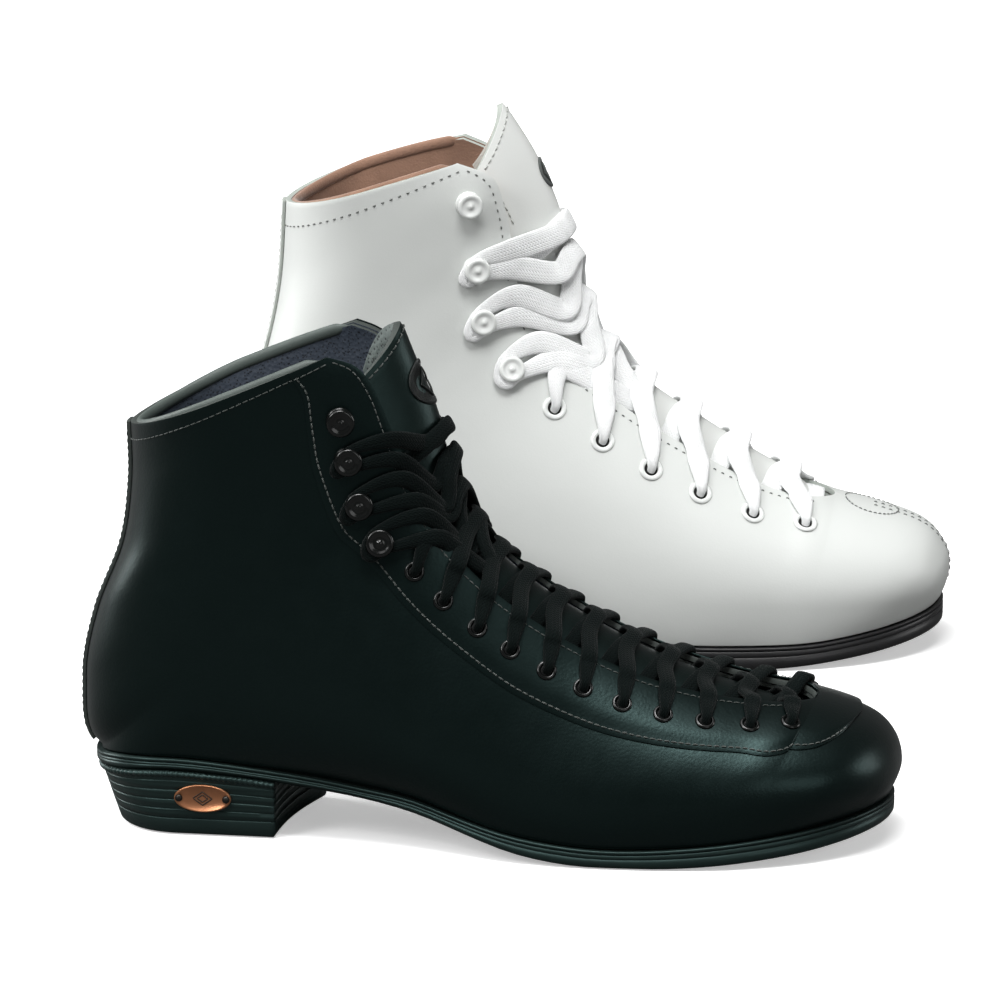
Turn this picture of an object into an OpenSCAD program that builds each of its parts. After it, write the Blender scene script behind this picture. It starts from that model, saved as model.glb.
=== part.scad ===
// Two lace-up skating boots for a right foot, shown without blades.
// The black boot is low cut, with a stacked heel and speed hooks above its eyelets.
// The white boot is cut higher and stands behind it.
// X runs from the heel to the toe, -Y is the outer (lateral) side, Z is up.
// The origin lies on the floor, under the middle of the black boot's heel.

/* [Black boot] */
// Length of the black upper, heel to toe
black_length = 290; // [280:1:300]
// Height of the black collar at its front corner
black_height = 175; // [170:1:182]
// Width of the black upper across the ball of the foot
black_width = 98; // [94:1:102]

/* [White boot] */
// Length of the white upper, heel to toe
white_length = 275; // [266:1:284]
// Height of the white collar at its front corner
white_height = 192; // [187:1:198]
// Width of the white upper across the ball of the foot
white_width = 90; // [87:1:94]

/* [Leather and padding] */
// Thickness of the outer leather
leather = 2; // [1.8:0.1:2.2]
// Thickness of the lining
lining_t = 1.3; // [1:0.1:1.5]
// Thickness of the stiffeners in the heel and the toe
stiffener_t = 1.1; // [0.9:0.1:1.2]
// Thickness of the padded tongue
tongue_t = 4.5; // [3.5:0.5:5]

/* [Sole and heel] */
// How far the sole stands out past the upper
sole_edge = 1.5; // [1:0.1:2]
// Thickness of the welt
welt_t = 1.2; // [1:0.1:1.4]
// Thickness of the rubber heel lift
lift_t = 6; // [5:0.5:7]
// How far the heel tapers in from its top to the floor, at the back
heel_taper = 8; // [6:1:9]

/* [Lacing] */
// Width of the black lace
black_lace_w = 6; // [5:0.5:6.5]
// Width of the white lace
white_lace_w = 9; // [8:0.5:10]
// Outer radius of a black eyelet
black_eyelet_r = 3.6; // [3.4:0.1:4]
// Outer radius of a white eyelet
white_eyelet_r = 4.7; // [4.4:0.1:5]
// Outer radius of a speed hook's foot
hook_r = 5; // [4.5:0.1:5.4]

/* [Placing] */
// Distance of the white boot ahead of the black one
white_ahead = 6; // [0:1:60]
// Distance of the white boot behind the black one
white_behind = 245; // [200:5:360]
// Turn of the white boot, toe away
white_turn = 6; // [0:1:10]

/* [Hidden] */
$fn = 32;
lateral = -1;
medial = 1;

// Station numbers shared by both boots: the closed toe runs from station 0 to 4, the throat
// starts at 4, the sole line ends at the heel at 13, and the collar is station 18.
throat_start = 4;
heel_station = 13;
collar_station = 18;

// Each boot's sections fan round from the toe (first row) to the collar (last row).
// A row holds the lower end x, z and the upper end x, z of the section's middle line, the
// greatest half width, where on the line that width lies, the half gap at the upper end,
// and the roundness of the upper part.
black_rows = [
    [286.8, 16, 287.2, 16.6, 2, .33, 12, 2.1], [282, 15.4, 290.6, 25.5, 20, .35, 12, 2.1],
    [270, 13.8, 288, 35.5, 33, .34, 12, 2.1], [255, 11.8, 279.5, 43.5, 42, .32, 12, 2.1],
    [238, 9.9, 261, 50.2, 47.5, .3, 13, 2.05], [218, 8, 243.8, 52.2, 50, .29, 17, 2],
    [196, 6.9, 222.3, 56.4, 51, .28, 21, 1.95], [174, 8.2, 200.7, 63.3, 49.5, .27, 23.5, 1.9],
    [152, 11.6, 180.3, 72.8, 46, .27, 24.5, 1.9], [130, 17.5, 162.3, 83.6, 43, .28, 25, 1.9],
    [105, 21.3, 147.2, 94.8, 40.5, .3, 25, 1.95], [74, 25.4, 134.9, 107.2, 39, .34, 25, 2],
    [38, 28.6, 126.7, 119.3, 37.5, .4, 25, 2.1], [5, 26, 120.4, 131.4, 36.5, .44, 25, 2.2],
    [0, 50, 116.1, 143.5, 35.5, .46, 25.5, 2.2], [4.5, 75, 112.5, 153.7, 34.5, .47, 26, 2.2],
    [14, 100, 108.3, 163.5, 34.5, .47, 26.5, 2.2], [17, 123, 102.2, 171.9, 35.5, .47, 28, 2.2],
    [16.5, 143.6, 92, 175.4, 36.5, .46, 30, 2.2]
];
white_rows = [
    [271.5, 17.6, 272, 18.2, 2, .33, 11, 2.1], [267, 16.6, 275.2, 28, 18, .35, 11, 2.1],
    [256, 14.6, 273, 38, 30, .34, 11, 2.1], [241, 12.2, 262, 48, 38.5, .32, 11, 2.1],
    [219, 10, 231, 58, 44, .3, 12, 2.05], [202, 9.6, 214, 61.5, 46, .29, 14, 2],
    [184, 9.7, 197, 68.5, 46.5, .28, 16, 1.95], [166, 10.4, 180, 77.8, 45.5, .27, 17, 1.9],
    [147, 12.8, 163.5, 87.8, 43, .27, 18, 1.9], [126, 19.6, 148.5, 98, 40, .28, 18.5, 1.9],
    [101, 27.2, 135, 108, 37.5, .3, 19, 1.95], [70, 34, 123, 118.5, 35.5, .34, 19.5, 2],
    [36, 38.2, 115, 129.5, 34.5, .4, 20, 2.1], [5, 36.8, 111, 141.5, 34, .44, 21, 2.2],
    [0, 61, 109, 153.5, 33.2, .46, 22, 2.2], [4, 86, 107.7, 164, 32.4, .47, 23, 2.2],
    [13.5, 114, 105.6, 174.5, 32.6, .47, 24, 2.2], [19, 141, 101, 186, 33.5, .47, 25.5, 2.2],
    [21, 172, 88, 192, 34.5, .46, 28, 2.2]
];

// Outline of the last seen from above: x, half width, middle line
black_plan = [
    [0, 31, 0], [50, 31, 0], [85, 29.5, -1.5], [105, 30, -2.5], [130, 35, -3], [155, 42.5, -2.5],
    [180, 47, -1], [200, 48, 0], [225, 47.5, 2], [250, 46.5, 5], [290, 45, 9]
];
white_plan = [for (r = black_plan) [r[0] * .948, r[1] * .93, r[2] * .93]];

// Height of the line where the upper meets the sole: x, z
black_feather = [
    [5, 26], [15, 28], [30, 28.8], [45, 28.4], [64, 26.6], [85, 24.2], [105, 21.4], [122, 19.2],
    [141, 14.2], [158, 10.3], [173, 8.2], [190, 7], [210, 7.4], [234, 9.4], [258, 12.1],
    [275, 14.4], [287, 16.2]
];
white_feather = [
    [5, 36.8], [15, 38.4], [28, 38.6], [45, 37.5], [75, 33], [95, 28.5], [115, 22.8],
    [135, 16.2], [150, 12.2], [170, 10], [189, 9.5], [221, 10], [243, 12.4], [264, 15.8],
    [274, 18]
];

// Height of the underside of the sole: x, z
black_under = [
    [0, 20.5], [30, 23.8], [60, 22.4], [80, 20], [105, 16.8], [124, 13.4], [144, 7.6],
    [160, 3.2], [175, .8], [188, 0], [212, 0], [234, 1.4], [258, 3.8], [275, 6.2], [290, 8.8]
];
white_under = [
    [0, 31.5], [28, 33.6], [56, 31], [75, 28.2], [95, 23.8], [115, 17.6], [135, 9.8],
    [150, 4.4], [164, 1.2], [176, 0], [202, 0], [221, 1.2], [243, 3.6], [260, 6], [275, 8.8]
];

// Tongue from the throat's end to its top: x and z of the front of its middle, the angle of
// that front above the floor, half width, depth of the curl, thickness share
black_tongue_rows = [
    [258, 45, 60, 13, 5, .45], [243, 50.9, 60, 19, 8, .5], [223, 57.7, 62, 23, 10.5, .6],
    [202, 66, 64, 25.5, 13, .8], [182, 76.4, 65, 26, 14.5, 1], [164, 87.2, 64, 26, 15, 1],
    [149.4, 98.7, 60, 26, 16, 1], [138.5, 112, 53, 25.5, 18, 1], [132.3, 125, 45, 24.5, 20, 1],
    [129, 139, 33, 23, 21, 1], [126, 151.4, 24, 22, 22.5, 1], [119.5, 167, 18, 22, 24, 1],
    [113.6, 181.8, 15, 22, 25, .9]
];
white_tongue_rows = [
    [229.8, 53, 77, 11, 5, .45], [215, 66, 77, 16, 15, .5], [198.7, 76.3, 77, 18.5, 21, .6],
    [182, 87, 78, 19.5, 24, .8], [165.6, 97.6, 77, 20.5, 26, 1], [151.5, 108, 74, 21, 28, 1],
    [140.3, 120.5, 67, 21, 28, 1], [134, 134, 58, 21, 28, 1], [130.5, 147, 46, 20, 26.5, 1],
    [128, 158, 33, 19, 25, 1], [124.8, 171, 22, 18.5, 24, 1], [116, 191, 20, 19, 26, .9],
    [104, 210, 22, 19, 28, .8]
];

// Lower edge of the eyestay: station, share of the way round the section
eyestay_edge = [
    [3.2, 1.97], [3.3, 1.7], [3.6, 1.5], [4.2, 1.46], [5, 1.52], [8.5, 1.53], [10, 1.57],
    [12, 1.6], [14, 1.53], [16, 1.48], [17.5, 1.58], [18, 1.64]
];

// One record per boot, read with the field numbers below
ROWS = 0;
PLAN = 1;
FEATHER = 2;
UNDER = 3;
TONGUE = 4;
EYELET_STATIONS = 5;
HOOK_STATIONS = 6;
HEEL_X = 7;
HEEL_R = 8;
TOE_X = 9;
TOE_R = 10;
BREAST = 11;
TONGUE_DROP = 12;
TONGUE_SPLIT = 13;
EYELET_U = 14;
CROSSINGS = 15;
TONGUE_FALLS = 16;
CROSSING_RISE = 17;

function scaled_rows(rows, sx, sy, sz) = [
    for (r = rows)
        [r[0] * sx, r[1] * sz, r[2] * sx, r[3] * sz, r[4] * sy, r[5], r[6] * sy, r[7]]
];
function scaled_tongue(rows, sx, sy, sz) = [
    for (r = rows) [r[0] * sx, r[1] * sz, r[2], r[3] * sy, r[4] * sx, r[5]]
];
function scaled_plan(rows, sx, sy) = [for (r = rows) [r[0] * sx, r[1] * sy, r[2] * sy]];
function scaled_line(rows, sx, sz) = [for (r = rows) [r[0] * sx, r[1] * sz]];

black_sx = black_length / 290;
black_sy = black_width / 98;
black_sz = black_height / 175;
white_sx = white_length / 275;
white_sy = white_width / 90;
white_sz = white_height / 192;

black_boot = [
    scaled_rows(black_rows, black_sx, black_sy, black_sz),
    scaled_plan(black_plan, black_sx, black_sy),
    scaled_line(black_feather, black_sx, black_sz),
    scaled_line(black_under, black_sx, black_sz),
    scaled_tongue(black_tongue_rows, black_sx, black_sy, black_sz),
    [4.25, 5, 5.7, 6.35, 7, 7.65, 8.3, 9, 9.7, 10.5, 11.3],
    [12.3, 13.4, 14.6, 15.8],
    5 * black_sx, 28 * black_sx, 286.8 * black_sx, 62 * black_sx,
    [72.5 * black_sx, 81 * black_sx],
    1, 10, 1.75, [6.9, 7.8, 8.65, 9.45], [1.1, 2.8], .3
];
white_boot = [
    scaled_rows(white_rows, white_sx, white_sy, white_sz),
    scaled_plan(white_plan, white_sx, white_sy),
    scaled_line(white_feather, white_sx, white_sz),
    scaled_line(white_under, white_sx, white_sz),
    scaled_tongue(white_tongue_rows, white_sx, white_sy, white_sz),
    [4.5, 5.7, 6.85, 7.95, 9.1, 10.3],
    [11.6, 13.2, 14.75, 16.7],
    5 * white_sx, 26 * white_sx, 271.5 * white_sx, 58 * white_sx,
    [72 * white_sx, 79 * white_sx],
    1, 10, 1.7, [5.7, 7, 8.4, 9.5], [1.3, 1.3], .5
];

// ---- Small helpers ----

function mix(a, b, f) = a + (b - a) * f;
function clamp(x, lo = 0, hi = 1) = min(max(x, lo), hi);
function smooth(x) = let (c = clamp(x)) c * c * (3 - 2 * c);
function unit(v) = v / max(norm(v), 1e-9);
function range(a, b, n) = [for (i = [0:n]) a + (b - a) * i / n];

// Row of a table at a fractional row number, on a smooth curve through the rows
function row_at(rows, t) =
    let (
        n = len(rows),
        i = clamp(floor(t), 0, n - 2),
        f = t - i,
        a = rows[max(i - 1, 0)],
        b = rows[i],
        c = rows[i + 1],
        d = rows[min(i + 2, n - 1)]
    )
    0.5 * (2 * b + (c - a) * f + (2 * a - 5 * b + 4 * c - d) * f * f
        + (3 * b - a - 3 * c + d) * f * f * f);

function slope_at(tab, k, j) =
    let (lo = tab[max(k - 1, 0)], hi = tab[min(k + 1, len(tab) - 1)])
    (hi[j] - lo[j]) / (hi[0] - lo[0]);

// Value j of a table at x, on a smooth curve through its rows
function curve_at(tab, x, j = 1) =
    let (
        n = len(tab),
        i = min(max([0, for (k = [0:n - 1]) if (tab[k][0] <= x) k]), n - 2),
        h = tab[i + 1][0] - tab[i][0],
        f = clamp((x - tab[i][0]) / h),
        f2 = f * f,
        f3 = f2 * f
    )
    (2 * f3 - 3 * f2 + 1) * tab[i][j] + (f3 - 2 * f2 + f) * h * slope_at(tab, i, j)
        + (3 * f2 - 2 * f3) * tab[i + 1][j] + (f3 - f2) * h * slope_at(tab, i + 1, j);

// ---- The boot's outer surface ----

// Half width of the sole line at x
function half_width(b, x) =
    let (
        a = clamp((b[HEEL_X] + b[HEEL_R] - x) / b[HEEL_R]),
        c = clamp((x - b[TOE_X] + b[TOE_R]) / b[TOE_R])
    )
    curve_at(b[PLAN], x, 1) * pow(1 - pow(a, 2.2), 1 / 2.2) * pow(1 - pow(c, 2.1), 1 / 2.1);

// Middle line of the boot seen from above, straight above the ankle
function middle(b, x, z) = curve_at(b[PLAN], x, 2) * (1 - smooth((z - 60) / 60));

// How far the throat has opened at a station, from 0 to 1
function throat_open(t) = let (f = clamp((t - throat_start) / .6)) sqrt(max(0, 1 - (1 - f) * (1 - f)));

// Point of the upper: station t, and u from the sole or back seam (0) past the widest
// place (1) to the throat edge, the collar's front or the toe's ridge (2)
low_round = 2.3;
function skin_point(b, t, u, side) =
    let (
        r = row_at(b[ROWS], t),
        foot = t < heel_station,
        bx = r[0],
        bz = foot ? curve_at(b[FEATHER], bx) : r[1],
        wb = foot ? half_width(b, bx) : 0,
        w = max(r[4], wb * 1.03),
        gap = r[6] * throat_open(t),
        p = mix(low_round, 1.75, smooth((t - 15.5) / 2.5)),
        q = r[7],
        bb = wb / w,
        ff = gap / w,
        low = u <= 1,
        phi_b = asin(pow(bb, p / 2)),
        phi_f = asin(pow(ff, q / 2)),
        phi = low ? mix(phi_b, 90, u) : mix(90, phi_f, u - 1),
        e = low ? 2 / p : 2 / q,
        y = w * pow(sin(phi), e),
        c = low ? r[5] * (1 - pow(cos(phi), e) / pow(1 - pow(bb, p), 1 / p))
            : r[5] + (1 - r[5]) * pow(cos(phi), e) / pow(1 - pow(ff, q), 1 / q),
        x = bx + c * (r[2] - bx),
        z = bz + c * (r[3] - bz)
    )
    [x, middle(b, x, z) + side * y, z];

// Outward direction of the upper at a point
nudge = .02;
function skin_normal(b, t, u, side) =
    let (
        t0 = max(t - nudge, 0),
        t1 = min(t + nudge, collar_station),
        u0 = max(u - nudge, 0),
        u1 = min(u + nudge, 2)
    )
    side * unit(cross(
        skin_point(b, t1, u, side) - skin_point(b, t0, u, side),
        skin_point(b, t, u1, side) - skin_point(b, t, u0, side)
    ));

function skin(b, t, u, side, off = 0) =
    skin_point(b, t, u, side) + (off == 0 ? [0, 0, 0] : off * skin_normal(b, t, u, side));

// ---- The tongue's surface ----

// Point of the tongue: row s from the throat's end up, v from one edge (-1) to the other (1),
// off outward from its front
function tongue_point(b, s, v, off = 0) =
    let (
        r = row_at(b[TONGUE], s),
        front = [cos(r[2]), 0, sin(r[2])],
        out = unit([cos(r[2]) * r[3], 2 * r[4] * v, sin(r[2]) * r[3]]),
        mid = middle(b, r[0], r[1])
    )
    [r[0], mid + r[3] * v, r[1]] - front * r[4] * v * v + out * off;

// ---- Solids from grids of points ----

// Closed solid between an outer and an inner grid of points with the same rows and columns
module shell(outer, inner, flip = false) {
    nr = len(outer);
    nc = len(outer[0]);
    n = nr * nc;
    points = [for (g = [outer, inner]) for (row = g) for (p = row) p];
    function at(r, c) = r * nc + c;
    quads = concat(
        [for (r = [0:nr - 2]) for (c = [0:nc - 2])
            [at(r, c), at(r, c + 1), at(r + 1, c + 1), at(r + 1, c)]],
        [for (r = [0:nr - 2]) for (c = [0:nc - 2])
            [n + at(r, c), n + at(r + 1, c), n + at(r + 1, c + 1), n + at(r, c + 1)]],
        [for (r = [0:nr - 2]) each [
            [at(r, 0), at(r + 1, 0), n + at(r + 1, 0), n + at(r, 0)],
            [at(r + 1, nc - 1), at(r, nc - 1), n + at(r, nc - 1), n + at(r + 1, nc - 1)]]],
        [for (c = [0:nc - 2]) each [
            [at(0, c + 1), at(0, c), n + at(0, c), n + at(0, c + 1)],
            [at(nr - 1, c), at(nr - 1, c + 1), n + at(nr - 1, c + 1), n + at(nr - 1, c)]]]
    );
    polyhedron(points, split_quads(quads, flip));
}

// Triangles of a list of quads, turned over when flip is true
function split_quads(quads, flip) = [
    for (q = quads) each (flip
        ? [[q[0], q[1], q[2]], [q[0], q[2], q[3]]]
        : [[q[2], q[1], q[0]], [q[3], q[2], q[0]]])
];

// Faces through nr rings of nc points each
function loft_faces(nr, nc, closed) = concat(
    split_quads([
        for (r = [0:closed ? nr - 1 : nr - 2]) for (c = [0:nc - 1])
            let (r2 = (r + 1) % nr, c2 = (c + 1) % nc)
            [r * nc + c, r * nc + c2, r2 * nc + c2, r2 * nc + c]
    ], false),
    closed ? [] : [for (c = [1:nc - 2]) each [
        [0, c, c + 1], [(nr - 1) * nc, (nr - 1) * nc + c + 1, (nr - 1) * nc + c]
    ]]
);

// Closed solid through a row of rings with the same number of points
module loft(rings, closed = false) {
    polyhedron(
        [for (ring = rings) for (p = ring) p],
        loft_faces(len(rings), len(rings[0]), closed)
    );
}

// Stands its children on the surface at p with their z along n
module on_surface(p, n) {
    translate(p) rotate([0, acos(n[2]), atan2(n[1], n[0])]) children();
}

// Each boot is drawn from its own heel forwards, then set down in its place
heel_middle = 45 * black_sx;
module black_place() {
    translate([-heel_middle, 0, 0]) children();
}

module white_place() {
    translate([white_ahead - heel_middle, white_behind, 0]) rotate(white_turn) children();
}

// ---- Parts of the upper ----

// Stations and shares of the way round at which the upper's layers have their corners
toe_steps = [.02, .12, .3, .6, 1, 1.5, 2, 2.6, 3.3];
throat_steps = [4, 4.04, 4.12, 4.3, 4.6];
facing_start = 17.3;
upper_steps = concat(toe_steps, throat_steps, range(5, facing_start, 17), [collar_station]);
round_steps = [0, .2, .45, .75, 1.1, 1.4, 1.68, 1.87, 2];

function skin_grid(b, ts, us, side, off) =
    [for (t = ts) [for (u = us) skin(b, t, u, side, off)]];

module quarter(b, side) {
    shell(
        skin_grid(b, upper_steps, round_steps, side, 0),
        skin_grid(b, upper_steps, round_steps, side, -leather),
        side == medial
    );
}

// Share of the stiffener's thickness that lies between leather and lining at a point
function stiffened(t, u) = max(
    smooth((4.2 - t) / 1.2),
    smooth((t - 9) / 2) * smooth((16.6 - t) / 1.6) * smooth((1.6 - u) / .6)
);

// Depths of the layers under the leather's face
clearance = .1;
skived = .12;
function stiffener_in(t, u) =
    leather + 1.5 * clearance + mix(skived, stiffener_t, stiffened(t, u));
function lining_out(t, u) = leather + 3 * clearance + (stiffener_t + clearance) * stiffened(t, u);

function depth_grid(b, ts, us, side, depth) =
    [for (t = ts) [for (u = us) skin(b, t, u, side, -depth(t, u))]];

lining_end = 17.95;
inner_round_steps = [for (u = round_steps) clamp(u, .02, 1.985)];
module lining(b) {
    ts = [for (t = upper_steps) if (t > .5) min(t, lining_end)];
    for (side = [lateral, medial]) {
        shell(
            depth_grid(b, ts, inner_round_steps, side, function (t, u) lining_out(t, u)),
            depth_grid(b, ts, inner_round_steps, side, function (t, u) lining_out(t, u) + lining_t),
            side == medial
        );
    }
}

// Stiffener between leather and lining, between two stations; it thins to a skived edge
module stiffener(b, first, last, highest) {
    ts = [for (t = upper_steps) if (t > first && t < last) t];
    us = [for (u = inner_round_steps) if (u < highest) u];
    for (side = [lateral, medial]) {
        shell(
            depth_grid(b, ts, us, side, function (t, u) leather + 1.5 * clearance),
            depth_grid(b, ts, us, side, function (t, u) stiffener_in(t, u)),
            side == medial
        );
    }
}

module counter(b) {
    stiffener(b, 9.2, 16.4, 1.5);
}

module toe_box(b) {
    stiffener(b, .5, 4.01, 2.1);
}

// Band that faces the inside of the collar
facing_t = .9;
module facing(b) {
    us = [for (u = round_steps) if (u > 0 && u < 2) u];
    for (side = [lateral, medial]) {
        shell(
            depth_grid(b, [facing_start, lining_end], us, side,
                function (t, u) lining_out(t, u) + lining_t + clearance),
            depth_grid(b, [facing_start, lining_end], us, side,
                function (t, u) lining_out(t, u) + lining_t + clearance + facing_t),
            side == medial
        );
    }
}

// Strip over the back seam, from the sole up to the collar
backstay_t = 1.6;
module backstay(b) {
    ts = range(13.1, collar_station - .02, 17);
    us = [.01, .05, .085];
    function across(t, off) = [
        for (k = [2:-1:0]) skin(b, t, us[k], lateral, off),
        for (k = [0:2]) skin(b, t, us[k], medial, off)
    ];
    shell(
        [for (t = ts) across(t, backstay_t)],
        [for (t = ts) across(t, clearance * 2)],
        true
    );
}

eyestay_t = 1.2;
module eyestay(b, side) {
    ts = concat([3.22, 3.32, 3.6, 3.98, 4.04, 4.12, 4.3, 4.6], range(5, collar_station - .02, 20));
    fs = [0, .35, .7, 1];
    function ring(t, off) = [
        for (f = fs) skin(b, t, mix(curve_at(eyestay_edge, t), 1.995, f), side, off)
    ];
    shell(
        [for (t = ts) ring(t, eyestay_t)],
        [for (t = ts) ring(t, clearance * 2)],
        side == medial
    );
}

// ---- Tongue ----

function tongue_thick(b, s) = tongue_t * row_at(b[TONGUE], s)[5];

// Tongue between rows s0 and s1; its top edge falls away by drop rows at the sides, each
// side with its own power
module tongue_solid(b, s0, s1, drop, steps) {
    vs = range(-1, 1, 10);
    rs = range(0, 1, steps);
    falls = b[TONGUE_FALLS];
    function row_of(r, v) =
        s0 + (s1 - s0 - drop * pow(abs(v), v < 0 ? falls[0] : falls[1])) * r;
    function sheet(inner) = [
        for (r = rs) [for (v = vs) let (s = row_of(r, v))
            tongue_point(b, s, v, inner ? -tongue_thick(b, s) * (1 - .5 * v * v) : 0)]
    ];
    shell(sheet(false), sheet(true));
}

// Gap in rows between the fixed tongue and its free top
split_gap = .03;
module tongue(b) {
    tongue_solid(b, 0, b[TONGUE_SPLIT] - split_gap, 0, 14);
}

module tongue_flap(b) {
    tongue_solid(b, b[TONGUE_SPLIT] + split_gap, len(b[TONGUE]) - 1, b[TONGUE_DROP], 6);
}

// Oval badge on the front of the tongue's free top
badge_t = .9;
badge_row = 10.62;
badge_rows_high = .5;
badge_share_wide = .42;
module tongue_badge(b, size = 1) {
    rs = [0, .35, .7, 1];
    spokes = 20;
    function oval(k, off, f) = tongue_point(
        b, badge_row + size * badge_rows_high * f * sin(k * 360 / spokes),
        size * badge_share_wide * f * cos(k * 360 / spokes), off
    );
    loft([
        [for (k = [0:spokes - 1]) oval(k, 2 * clearance, .02)],
        [for (k = [0:spokes - 1]) oval(k, 2 * clearance, 1)],
        [for (k = [0:spokes - 1]) oval(k, badge_t * .6, 1)],
        [for (k = [0:spokes - 1]) oval(k, badge_t, .93)],
        [for (k = [0:spokes - 1]) oval(k, badge_t, .02)]
    ]);
}

// ---- Sole and heel ----

// Outline of the sole line seen from above, s from the heel (0) to the toe (1), grown by grow
function outline_x(b, s) = mix(b[HEEL_X], b[TOE_X], (1 - cos(180 * s)) / 2);
function outline_raw(b, s, side) =
    let (x = outline_x(b, s)) [x, side * half_width(b, x)];
function outline(b, s, side, grow) =
    let (
        p = outline_raw(b, s, side),
        d = outline_raw(b, min(s + .004, 1), side) - outline_raw(b, max(s - .004, 0), side),
        n = unit([-side * d[1], side * d[0]]) * side,
        x = p[0] + (s == 0 ? -grow : s == 1 ? grow : n[0] * grow * side)
    )
    [x, curve_at(b[PLAN], x, 2) + p[1] + (s == 0 || s == 1 ? 0 : n[1] * grow * side)];

// Slab between two outlines, with its top and underside following height lines
module slab(b, steps, grow_top, grow_low, top, low, raise_top = 0, raise_low = 0) {
    loft([
        for (s = steps)
            let (
                tl = outline(b, s, lateral, grow_top),
                tm = outline(b, s, medial, grow_top),
                ll = outline(b, s, lateral, grow_low),
                lm = outline(b, s, medial, grow_low)
            )
            [
                [tl[0], tl[1] - .02, curve_at(top, tl[0]) + raise_top],
                [ll[0], ll[1] - .02, max(curve_at(low, ll[0]) + raise_low, 0)],
                [lm[0], lm[1] + .02, max(curve_at(low, lm[0]) + raise_low, 0)],
                [tm[0], tm[1] + .02, curve_at(top, tm[0]) + raise_top]
            ]
    ]);
}
sole_steps = concat([0, .015, .035, .06, .09], range(.12, .88, 22), [.91, .94, .965, .985, 1]);

// The welt lies just under the edge of the upper, and the outsole just under the welt
welt_drop = .7;
module outsole(b) {
    slab(b, sole_steps, sole_edge, sole_edge * .6, b[FEATHER], b[UNDER],
        -welt_drop - welt_t - clearance, 0);
}

// Strip round the edge between the upper and the outsole
welt_w = 7;
module welt(b) {
    last = len(sole_steps) - 2;
    stops = concat(
        [for (s = sole_steps) [s, lateral]],
        [for (k = [last:-1:1]) [sole_steps[k], medial]]
    );
    loft([
        for (st = stops)
            let (
                o = outline(b, st[0], st[1], sole_edge),
                i = outline(b, st[0], st[1], -welt_w),
                zo = curve_at(b[FEATHER], o[0]) - welt_drop,
                zi = curve_at(b[FEATHER], i[0]) - welt_drop
            )
            [[o[0], o[1], zo], [o[0], o[1], zo - welt_t], [i[0], i[1], zi - welt_t], [i[0], i[1], zi]]
    ], true);
}

insole_raise = 2.3;
insole_t = 2.4;
insole_in = -7.4;
module insole(b) {
    slab(b, range(0, 1, 24), insole_in, insole_in, b[FEATHER], b[FEATHER],
        insole_raise + insole_t, insole_raise);
}

footbed_t = 2.6;
footbed_in = -8.2;
module footbed(b) {
    slab(b, range(0, 1, 24), footbed_in, footbed_in, b[FEATHER], b[FEATHER],
        insole_raise + insole_t + clearance + footbed_t, insole_raise + insole_t + clearance);
}

// Cork that fills the forepart inside the welt
module filler(b) {
    slab(b, range(.6, .95, 12), -welt_w - 1, -welt_w - 1, b[FEATHER], b[FEATHER],
        insole_raise - clearance, -welt_t);
}

// Spring steel strip under the arch, from the heel seat to the start of the ball
shank_half = 7;
module shank(b) {
    xs = range(.16, .52, 12);
    loft([
        for (f = xs)
            let (x = f * b[TOE_X], m = curve_at(b[PLAN], x, 2), z = curve_at(b[FEATHER], x))
            [
                [x, m - shank_half, z + 1.6], [x, m - shank_half, z - .2],
                [x, m + shank_half, z - .2], [x, m + shank_half, z + 1.6]
            ]
    ]);
}

// Heel: its sides taper towards the floor, and its front leans ahead on the inner side
heel_round = 2.2;
function heel_point(b, f, side, z) =
    let (
        top = b[UNDER][1][1],
        k = 1 - z / top,
        back = b[HEEL_X] - sole_edge * .6 + heel_taper * k,
        breast = side == lateral ? b[BREAST][0] : b[BREAST][1],
        far = mix(b[BREAST][0], b[BREAST][1], .5),
        x = mix(back, breast, f),
        round_len = b[HEEL_R],
        a = clamp((round_len - mix(0, far - back, f)) / round_len),
        y = (curve_at(b[PLAN], x) + sole_edge * .6) * pow(1 - pow(a, heel_round), 1 / heel_round)
            * (1 - .07 * k)
    )
    [x, curve_at(b[PLAN], x, 2) + side * y, z];
heel_fracs = concat([.0, .01, .03, .06, .1, .15, .21, .28], range(.37, 1, 6));

module heel_part(b, low, high, under_sole) {
    loft([
        for (f = heel_fracs)
            let (
                tl = heel_point(b, f, lateral, high),
                tm = heel_point(b, f, medial, high),
                ll = heel_point(b, f, lateral, low),
                lm = heel_point(b, f, medial, low),
                zl = under_sole ? curve_at(b[UNDER], tl[0]) - clearance / 2 : high,
                zm = under_sole ? curve_at(b[UNDER], tm[0]) - clearance / 2 : high
            )
            [
                [tl[0], tl[1] - .02, zl], [ll[0], ll[1] - .02, low],
                [lm[0], lm[1] + .02, low], [tm[0], tm[1] + .02, zm]
            ]
    ]);
}

module heel_block(b) {
    heel_part(b, lift_t, b[UNDER][1][1], true);
}

module heel_lift(b) {
    heel_part(b, 0, lift_t - clearance / 2, false);
}

// Nails that go down through the seat into the heel
nail_r = 1.2;
nail_head_r = 2.6;
nail_len = 18;
module heel_nails(b) {
    for (p = [[20, 0], [34, -15], [34, 15], [56, -15], [56, 15]]) {
        top = curve_at(b[FEATHER], p[0]) + insole_raise + insole_t - .1;
        translate([p[0], p[1], top - nail_len]) cylinder(r = nail_r, h = nail_len - .8);
        translate([p[0], p[1], top - .9]) cylinder(r = nail_head_r, h = .8);
    }
}

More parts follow.
